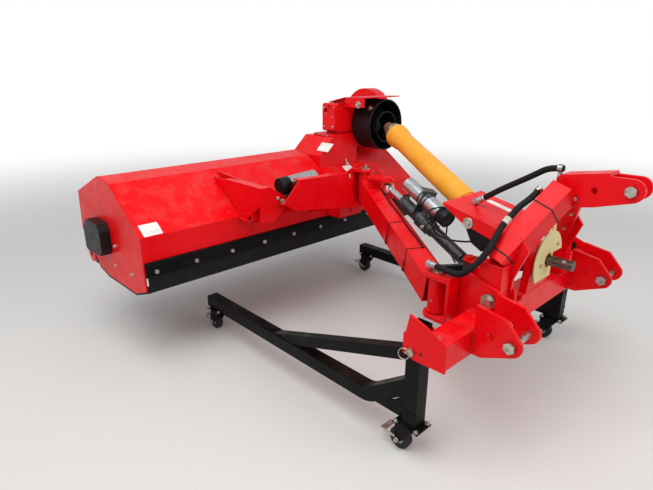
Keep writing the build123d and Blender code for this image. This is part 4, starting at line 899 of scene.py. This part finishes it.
class MOWER_OT_actuators(bpy.types.Operator):
    """Motor caps, clamp, gland and cables of the two actuators"""

    bl_idname = "mower.actuators"
    bl_label = "Actuator fittings"

    def execute(self, context):
        slide = run_between(SLIDE_ROOT, SLIDE_TIP, (SLIDE_LEAN, 0, 1))
        tilt = run_between(TILT_ROOT, TILT_TIP)
        radius = MOTOR_RADIUS * MM
        for name, run, distance, height, body in (
            ("slide_motor_cap", slide, 182, SLIDE_MOTOR_HEIGHT, "slide_barrel"),
            ("tilt_motor_cap", tilt, 17, TILT_MOTOR_HEIGHT, "tilt_barrel"),
        ):
            cap = add_cap(radius + 0.002, low=0, high=0.046, rim=0.005)
            put(cap, along(run, distance, 0, height), run.way)
            dress(cap, name, "polypropylene_black", body)
        clamp = put(self.clamp(radius), along(slide, 322, 0, SLIDE_MOTOR_HEIGHT), slide.way, slide.side)
        dress(clamp, "slide_motor_clamp", "aluminium_dark_anodised", "slide_barrel")
        gland = add_stack((0.007, 0, 0.006, 6, None), (0.0052, 0.006, 0.014, 16, None))
        put(gland, along(slide, 210, 26, SLIDE_MOTOR_HEIGHT - 17), slide.side * 0.8 - slide.up * 0.6)
        dress(gland, "slide_motor_gland", "polypropylene_black", "slide_barrel")
        cable("slide_motor_cable", [beside(slide, *spot) for spot in SLIDE_CABLE], 3.2, "slide_barrel")
        cable("tilt_motor_cable", [beside(tilt, *spot) for spot in TILT_CABLE], 3.0, "tilt_barrel")
        return {"FINISHED"}

    def clamp(self, radius):
        """A folded plate across the motor and down to the tube, with a band on each side."""
        half, sheet = CLAMP_HALF, CLAMP_SHEET
        plate = bevel_edges(add_box((-half, -half, -sheet), (half, CLAMP_FOOT, sheet)), 0.0012)
        lip = bevel_edges(add_box((-half, -CLAMP_LIP_EDGE, -sheet), (half, -half, CLAMP_LIP_HEIGHT)), 0.0010)
        parts = [plate, lip]
        for low in (-0.022, 0.014):
            parts.append(add_ring(radius + 0.0018, radius - 0.0005, low, low + 0.008, 40))
        return join(parts)


# The collar's three ribs, in metres: from, to, and how far they stand out.
COLLAR_RIBS = ((-0.010, -0.004, 0.007), (-0.004, 0.005, 0.010), (0.005, 0.011, 0.006))


class MOWER_OT_collar(bpy.types.Operator):
    """Ribbed steel collar on the drive line's bare shaft, just before the joint bell"""

    bl_idname = "mower.collar"
    bl_label = "Drive line collar"

    def execute(self, context):
        run = run_between(DRIVE_FRONT, DRIVE_REAR)
        seen = seen_at(*COLLAR_PIXEL).place - along(run, 0)
        distance = seen.dot(run.way)
        radius = (seen - run.way * distance).length
        ribs = []
        for low, high, proud in COLLAR_RIBS:
            ribs.append(bevel_edges(add_ring(radius + proud, radius - 0.0005, low, high, 40), 0.0008))
        piece = put(join(ribs), along(run, distance / MM), run.way)
        dress(piece, "drive_collar", "steel_zinc_plated", frame["nodes"]["drive_shaft_rear"]["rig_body"])
        return {"FINISHED"}


# Two cables that loop under the joint cover, as places of the drawing.
COVER_CABLE = (
    (112, -428, 688), (142, -446, 676), (160, -452, 640), (150, -440, 600), (126, -404, 580),
    (112, -350, 582), (108, -310, 592), (106, -270, 614),
)
COVER_CABLE_SHORT = ((118, -430, 692), (150, -462, 690), (176, -470, 664), (170, -450, 630), (140, -404, 600))


class MOWER_OT_cables(bpy.types.Operator):
    """Thin cables tied along the swing arm and looped under the joint cover"""

    bl_idname = "mower.cables"
    bl_label = "Cables"

    def execute(self, context):
        arm = run_between(ARM_FRONT, ARM_REAR)
        # Along the inner top edge, from the front tie to the rear boss, with the slack of a hand-laid cable.
        points = []
        for number, distance in enumerate(range(200, 690, 60)):
            slack = 3.0 * math.sin(number * 1.9)
            points.append(beside(arm, distance, ARM_WIDTH / 2 - 9 + slack, ARM_DEPTH / 2 + 3.6))
        cable("arm_cable", points, 3.2, "swing_arm")
        cable("cover_cable", COVER_CABLE, 3.4, "hitch_frame")
        cable("cover_cable_short", COVER_CABLE_SHORT, 3.0, "hitch_frame")
        return {"FINISHED"}


# Ends of the two hoses: the place, the way the hose runs, and for a clip the place of its ear.
HoseEnd = namedtuple("HoseEnd", "name place way foot")
HOSE_FERRULES = (
    HoseEnd("upper_hose_ferrule", (20, -350, 715.5), (0, -0.84, -0.55), None),
    HoseEnd("lower_hose_ferrule", (300, -340, 549), (-0.35, -1, -0.12), None),
)
HOSE_CLIPS = (
    HoseEnd("upper_hose_clip", (20, -90, 865), (0, 1, 0), (20, -90, 840)),
    HoseEnd("lower_hose_clip", (84, -121, 801), (-0.75, 0.25, 0.6), (66, -112, 786)),
)
HOSE_TAPE = HoseEnd("hose_tape", (186, -161.5, 715.5), (-28, 9, 25), None)


class MOWER_OT_hose_ends(bpy.types.Operator):
    """Ferrules, clips and tape of the two hoses"""

    bl_idname = "mower.hose_ends"
    bl_label = "Hose ends"

    def execute(self, context):
        for end in HOSE_FERRULES:
            # A crimped ferrule: three rings, the hex of the nut, and its neck.
            rings = [(0.0122, low, low + 0.009, 24, 0.0015) for low in (-0.022, -0.011, 0.0)]
            ferrule = add_stack(*rings, (0.0135, 0.011, 0.023, 6, 0.0008), (0.0080, 0.023, 0.030, 20, None))
            dress(put(ferrule, at(*end.place), end.way), end.name, "aluminium_brushed", "hitch_frame")
        for end in HOSE_CLIPS:
            # A clip round the hose's upper end, with its ear towards the mast.
            clip = add_ring(0.0122, 0.0100, -0.007, 0.007, 32)
            ear = bevel_edges(add_box((-0.0012, 0.0112, -0.007), (0.0012, 0.0262, 0.007)), 0.0006)
            screw = hex_head(across=0.008, height=0.004, washer_radius=0.006, washer=0.001)
            quarter_turn(screw, "Y", (0.0012, 0.019, 0))
            outward = Vector(end.foot) - Vector(end.place)
            side = Vector(end.way).cross(outward) * -1
            piece = put(join([clip, ear, screw]), at(*end.place), end.way, side)
            dress(piece, end.name, "steel_zinc_plated", "hitch_frame")
        tape = put(add_ring(0.0112, 0.0098, -0.011, 0.011, 32), at(*HOSE_TAPE.place), HOSE_TAPE.way)
        dress(tape, HOSE_TAPE.name, "nylon_natural", "hitch_frame")
        return {"FINISHED"}


# The linch ring's radius and its wire's, in metres, and its place on the stand's right pin.
LINCH_RADIUS, LINCH_WIRE = 0.017, 0.0017
LINCH_X, LINCH_Y, LINCH_Z = 553, -246, 366


class MOWER_OT_linch_pins(bpy.types.Operator):
    """Spring rings that lock the two stand pins"""

    bl_idname = "mower.linch_pins"
    bl_label = "Linch pins"

    def execute(self, context):
        for name, side in (("linch_pin_right", 1), ("linch_pin_left", -1)):
            rest_selection()
            bpy.ops.mesh.primitive_torus_add(
                major_radius=LINCH_RADIUS, minor_radius=LINCH_WIRE, major_segments=40, minor_segments=10)
            ring = applied()
            bpy.ops.object.shade_smooth()
            peg = bevel_edges(add_disc(0.0042, -0.020, 0.012, 16), 0.0012)
            quarter_turn(peg, "X", (0, LINCH_RADIUS, 0))
            place = at(side * LINCH_X, LINCH_Y, LINCH_Z)
            pin = put(join([ring, peg]), place, (side, 0.25, 0.15), (0, 0.75, -0.66))
            dress(pin, name, "steel_zinc_plated", "hitch_frame")
        return {"FINISHED"}


# The lever's ball knob, in metres.
KNOB_RADIUS, KNOB_HEIGHT = 0.0080, 0.053


class MOWER_OT_lever(bpy.types.Operator):
    """The small hand lever with its ball knob beside the tilt actuator"""

    bl_idname = "mower.lever"
    bl_label = "Hand lever"

    def execute(self, context):
        spot = seen_at(*LEVER_PIXEL)
        stem = add_disc(0.0030, -0.002, 0.048, 14)
        base = bevel_edges(add_disc(0.009, -0.001, 0.006, 20), 0.0012)
        rest_selection()
        bpy.ops.mesh.primitive_uv_sphere_add(
            segments=24, ring_count=14, radius=KNOB_RADIUS, location=(0, 0, KNOB_HEIGHT))
        ball = applied()
        bpy.ops.object.shade_smooth()
        lever = put(join([stem, base, ball]), spot.place, (0.25, -0.25, 1))
        dress(lever, "hand_lever", "nylon_natural", spot.body)
        return {"FINISHED"}


# Grease nipples: the node that each stands on, and its place.
GREASE_NIPPLES = (
    ("carrier_pins", (290, -320, 534)), ("carrier_pins", (156, -312, 410)),
    ("yoke_pins", (-105, -1004, 724)), ("yoke_pins", (-239, -996, 600)), ("gearbox", (-430, -1400, 978)),
)


class MOWER_OT_grease(bpy.types.Operator):
    """Grease nipples on the upright pivots' heads"""

    bl_idname = "mower.grease"
    bl_label = "Grease nipples"

    def execute(self, context):
        groups = {}
        for node, place in GREASE_NIPPLES:
            spot = on_skin(node, place, UP)
            groups.setdefault(spot.body, []).append((spot.place, spot.normal, 1.0, 0.4))
        for body, spots in groups.items():
            foot = add_stack((0.0046, 0, 0.004, 6, None), (0.0022, 0.004, 0.009, 12, None))
            tip = bevel_edges(add_disc(0.0031, 0.009, 0.013, 14), 0.0012, 2)
            dress(copies(join([foot, tip]), spots), f"grease_nipples_{body}", "steel_zinc_plated", body)
        return {"FINISHED"}


class MOWER_OT_caster_bolts(bpy.types.Operator):
    """Axle nuts and plate bolts of the four casters"""

    bl_idname = "mower.caster_bolts"
    bl_label = "Caster bolts"

    def execute(self, context):
        plate_spots = []
        for spot, (x, y) in CASTER_PLACES.items():
            fork = "caster_fork_" + spot
            nuts = []
            for side in (-1, 1):
                skin = on_skin(fork, (x, y - CASTER_TRAIL, WHEEL_RADIUS), (side, 0, 0))
                nuts.append((skin.place, (side, 0, 0), 1.0, 0.3))
            nut = hex_head(across=0.013, height=0.006, washer_radius=0.009, washer=0.0015, stub=0.002)
            dress(copies(nut, nuts), "axle_nuts_" + spot, "steel_zinc_plated", fork)
            stand = "stand_right" if x > 0 else "stand_left"
            for dx in (-CASTER_BOLT_X, CASTER_BOLT_X):
                for dy in (-CASTER_BOLT_Y, CASTER_BOLT_Y):
                    skin = on_skin(stand, (x + dx, y + dy, CASTER_PLATE_TOP), UP)
                    plate_spots.append((skin.place, skin.normal, 0.85, dx * 0.1))
        bolt = hex_head(across=0.013, height=0.006, washer_radius=0.010, washer=0.0016, stub=0.002)
        dress(copies(bolt, plate_spots), "caster_plate_bolts", "steel_zinc_plated", "hitch_frame")
        return {"FINISHED"}


class MOWER_OT_caster_pedals(bpy.types.Operator):
    """Brake pedals on the caster forks, and hub discs on their wheels"""

    bl_idname = "mower.caster_pedals"
    bl_label = "Caster pedals and hubs"

    def execute(self, context):
        for spot, (x, y) in CASTER_PLACES.items():
            axle = at(x, y - CASTER_TRAIL, WHEEL_RADIUS)
            pedal = self.pedal()
            pedal.data.transform(Matrix.Translation(axle))
            dress(pedal, "caster_pedal_" + spot, "steel_zinc_plated", "caster_fork_" + spot)
            hub = put(self.hub(), axle, RIGHT)
            dress(hub, "caster_hub_" + spot, "steel_zinc_plated", "caster_wheel_" + spot)
        return {"FINISHED"}

    def pedal(self):
        """Two arms along the fork and a ribbed foot plate behind the wheel, from the axle."""
        parts = []
        inner, outer = 0.0242, 0.0262
        for left, right in ((-outer, -inner), (inner, outer)):
            parts.append(bevel_edges(add_box((left, -0.048, 0.006), (right, -0.007, 0.016)), 0.0006))
        parts.append(bevel_edges(add_box((-outer, -0.066, 0.013), (outer, -0.044, 0.0155)), 0.0007))
        for rib in range(4):
            rear = -0.0625 + rib * 0.005
            parts.append(add_box((-0.020, rear, 0.0154), (0.020, rear + 0.0022, 0.0166)))
        return join(parts)

    def hub(self):
        """A pressed disc on each side of the wheel, with a raised ring round the axle."""
        parts = []
        for side in (-1, 1):
            face = side * WHEEL_WIDTH / 2 * MM
            low, high = sorted((face, face + side * 0.0012))
            parts.append(bevel_edges(add_disc(0.0165, low, high, 36), 0.0004))
            low, high = sorted((face, face + side * 0.0026))
            parts.append(bevel_edges(add_ring(0.0105, 0.0070, low, high, 28), 0.0006))
        return join(parts)


# Seams of the frame by the CAD node that the bead lies on, each as its two ends.
SEAMS = {
    "crossbeam": (
        ((263, -117, 441), (263, -193, 441)), ((196, -116, 441), (262, -116, 441)),
        ((-195, -117, 441), (-195, -193, 441)), ((-262, -116, 441), (-196, -116, 441)),
        ((403, -116, 441), (403, -193, 441)), ((278, -116, 441), (278, -193, 441)),
        ((540, -193, 441), (540, -117, 441)), ((540, -114, 438), (540, -114, 362)),
    ),
    "hitch_plates": (
        ((402, -114, 364), (402, -114, 438)), ((292, -114, 364), (292, -114, 438)),
        ((-278, -114, 364), (-278, -114, 438)), ((-388, -114, 364), (-388, -114, 438)),
    ),
    "mast": (
        ((262, -117, 590), (262, -193, 590)), ((196, -117, 590), (262, -117, 590)),
        ((-196, -117, 590), (-196, -193, 590)), ((-262, -117, 590), (-196, -117, 590)),
        ((39, -88, 746), (39, -88, 840)),
    ),
    "arm_carrier": (((240, -265, 528), (336, -265, 528)),),
    "deck_bracket": (((-300, -1192, 566), (120, -1192, 566)),),
    "pedestal": (((-181, -1300, 745), (-181, -1420, 760)),),
    "yoke": (((-160, -1040, 718), (-60, -1040, 718)), ((-285, -1040, 596), (-195, -1040, 596))),
    "stand_right": (((540, -246, 163), (540, -198, 163)),),
    "stand_left": (((-540, -246, 163), (-540, -198, 163)),),
}
FRAME_BEAD_MM, HOOD_BEAD_MM = 4.2, 2.4

# The hood's folded outline, as y and z, where its two end plates are welded in.
HOOD_SEAM = ((-1196, 563), (-1346, 669), (-1430, 728), (-1547, 740), (-1789, 641))
HOOD_ENDS = (("weld_hood_outer", 890.5), ("weld_hood_inner", -702.5))


class MOWER_OT_welds(bpy.types.Operator):
    """Weld beads where plates and tubes meet"""

    bl_idname = "mower.welds"
    bl_label = "Welds"

    def execute(self, context):
        for node, seams in SEAMS.items():
            material = "black_enamel_satin" if node.startswith("stand") else "red_enamel_sprayed"
            weld_bead("weld_" + node, node, seams, FRAME_BEAD_MM, material)
        for name, x in HOOD_ENDS:
            seams = [((x, *first), (x, *second)) for first, second in zip(HOOD_SEAM, HOOD_SEAM[1:])]
            weld_bead(name, "deck_hood", seams, HOOD_BEAD_MM, "red_enamel_sprayed")
        return {"FINISHED"}


WHITE = (1, 1, 1, 1)
FLOOR_SIZE = 80

# The floor turns into the white background over these distances from its middle, in metres.
FLOOR_FADE_FROM, FLOOR_FADE_TO = 2.2, 6.5

# One large lamp high over the near side, and a weaker one from ahead of the hitch.
Lamp = namedtuple("Lamp", "name place size share")
LAMPS = (Lamp("key_lamp", (1.6, 0.4, 3.4), 2.6, 1.0), Lamp("front_lamp", (-0.8, 3.0, 2.2), 2.0, 0.35))
LAMP_AIM = (0, 0, 0.5)


class MOWER_OT_stage(bpy.types.Operator):
    """Floor, soft light and the camera at the photograph's place"""

    bl_idname = "mower.stage"
    bl_label = "Stage"

    def execute(self, context):
        stage = context.scene.mower_stage
        self.make_floor(stage)
        self.make_light(context, stage)
        self.make_camera(context)
        context.scene.view_settings.view_transform = "Standard"
        return {"FINISHED"}

    def make_floor(self, stage):
        """A pale plaster floor that fades into white where only the camera and reflections see it."""
        rest_selection()
        bpy.ops.mesh.primitive_plane_add(size=FLOOR_SIZE, location=(0, 0, 0))
        floor = bpy.context.object
        floor.name = "floor"
        tree = new_tree("plaster_floor_pale")
        place = (add_node(tree, "ShaderNodeTexCoord"), "Object")
        away = add_node(tree, "ShaderNodeVectorMath", {0: place}, operation="LENGTH")
        far = add_node(tree, inputs=between(away, FLOOR_FADE_FROM, FLOOR_FADE_TO), **SOFT_STEP)
        _, tone = blotches(tree, 6, 5, 0.55, (0.3, 0.7))
        colour, _ = lay_over(tree, tuple(stage.floor_colour), "#D6D4D0", tone)
        shader = add_node(tree, "ShaderNodeBsdfPrincipled", {"Base Color": colour, "Roughness": 0.8})
        rays = add_node(tree, "ShaderNodeLightPath")
        seen = add_node(tree, "ShaderNodeMath", {0: (rays, "Is Camera Ray"), 1: (rays, "Is Glossy Ray")},
                        operation="MAXIMUM")
        mask = add_node(tree, "ShaderNodeMath", {0: seen, 1: far}, operation="MULTIPLY")
        white = add_node(tree, "ShaderNodeEmission", {"Color": WHITE, "Strength": 1.0})
        blend = add_node(tree, "ShaderNodeMixShader", {0: mask, 1: shader, 2: white})
        add_node(tree, "ShaderNodeOutputMaterial", {"Surface": blend})
        floor.data.materials.append(bpy.data.materials["plaster_floor_pale"])

    def make_light(self, context, stage):
        """Soft light from all round, white where the camera sees it, and the lamps."""
        world = bpy.data.worlds.new("soft_sky")
        context.scene.world = world
        world.use_nodes = True
        tree = world.node_tree
        tree.nodes.clear()
        rays = add_node(tree, "ShaderNodeLightPath")
        seen = add_node(tree, "ShaderNodeMath",
                        {0: (rays, "Is Camera Ray"), 1: (rays, "Is Transmission Ray")}, operation="MAXIMUM")
        sky = add_node(tree, "ShaderNodeBackground",
                       {"Color": linear("#F4F7FB"), "Strength": stage.sky_strength})
        white = add_node(tree, "ShaderNodeBackground", {"Color": WHITE, "Strength": 1.0})
        blend = add_node(tree, "ShaderNodeMixShader", {0: seen, 1: sky, 2: white})
        add_node(tree, "ShaderNodeOutputWorld", {"Surface": blend})
        for row in LAMPS:
            rest_selection()
            bpy.ops.object.light_add(type="AREA", location=row.place)
            lamp = bpy.context.object
            lamp.name = row.name
            lamp.data.size = row.size
            lamp.data.energy = stage.key_power * row.share
            aim = Vector(LAMP_AIM) - Vector(row.place)
            lamp.rotation_mode = "QUATERNION"
            lamp.rotation_quaternion = aim.to_track_quat("-Z", "Y")

    def make_camera(self, context):
        """The camera at the place and with the view of the photograph."""
        rest_selection()
        bpy.ops.object.camera_add(location=at(*CAMERA_PLACE_MM))
        camera = bpy.context.object
        camera.name = "photo_camera"
        right = Vector(CAMERA_RIGHT).normalized()
        back = -Vector(CAMERA_FORWARD).normalized()
        up = back.cross(right).normalized()
        right = up.cross(back).normalized()
        turn = Matrix((right, up, back)).transposed()
        camera.rotation_mode = "QUATERNION"
        camera.rotation_quaternion = turn.to_quaternion()
        camera.data.sensor_width = SENSOR_MM
        camera.data.lens = FOCAL_PIXELS / PHOTO_WIDTH * SENSOR_MM
        camera.data.clip_start = 0.05
        camera.data.clip_end = 200
        context.scene.camera = camera


OPERATORS = (
    MOWER_OT_materials, MOWER_OT_flap_bolts, MOWER_OT_bolts, MOWER_OT_plugs, MOWER_OT_labels, MOWER_OT_ties,
    MOWER_OT_actuators, MOWER_OT_collar, MOWER_OT_cables, MOWER_OT_hose_ends, MOWER_OT_linch_pins,
    MOWER_OT_lever, MOWER_OT_grease, MOWER_OT_caster_bolts, MOWER_OT_caster_pedals, MOWER_OT_welds,
    MOWER_OT_stage,
)


class MOWER_PT_sidebar(bpy.types.Panel):
    """Lists the settings and the operators of the mower"""

    bl_label = "Mower"
    bl_idname = "MOWER_PT_sidebar"
    bl_space_type = "VIEW_3D"
    bl_region_type = "UI"
    bl_category = "Mower"

    def draw(self, context):
        scene = context.scene
        for group in (scene.mower_finish, scene.mower_fasteners, scene.mower_stage):
            column = self.layout.column(align=True)
            for name in group.__annotations__:
                column.prop(group, name)
        for operator in OPERATORS:
            self.layout.operator(operator.bl_idname)


CLASSES = (MowerFinish, MowerFasteners, MowerStage, *OPERATORS, MOWER_PT_sidebar)


def register():
    for made in CLASSES:
        bpy.utils.register_class(made)
    bpy.types.Scene.mower_finish = PointerProperty(type=MowerFinish)
    bpy.types.Scene.mower_fasteners = PointerProperty(type=MowerFasteners)
    bpy.types.Scene.mower_stage = PointerProperty(type=MowerStage)


def unregister():
    del bpy.types.Scene.mower_stage
    del bpy.types.Scene.mower_fasteners
    del bpy.types.Scene.mower_finish
    for made in reversed(CLASSES):
        bpy.utils.unregister_class(made)


def main():
    register()
    bpy.ops.mower.materials()
    bpy.ops.mower.flap_bolts()
    bpy.ops.mower.bolts()
    bpy.ops.mower.plugs()
    bpy.ops.mower.labels()
    bpy.ops.mower.ties()
    bpy.ops.mower.actuators()
    bpy.ops.mower.collar()
    bpy.ops.mower.cables()
    bpy.ops.mower.hose_ends()
    bpy.ops.mower.linch_pins()
    bpy.ops.mower.lever()
    bpy.ops.mower.grease()
    bpy.ops.mower.caster_bolts()
    bpy.ops.mower.caster_pedals()
    bpy.ops.mower.welds()
    bpy.ops.mower.stage()


if __name__ == "__main__":
    main()
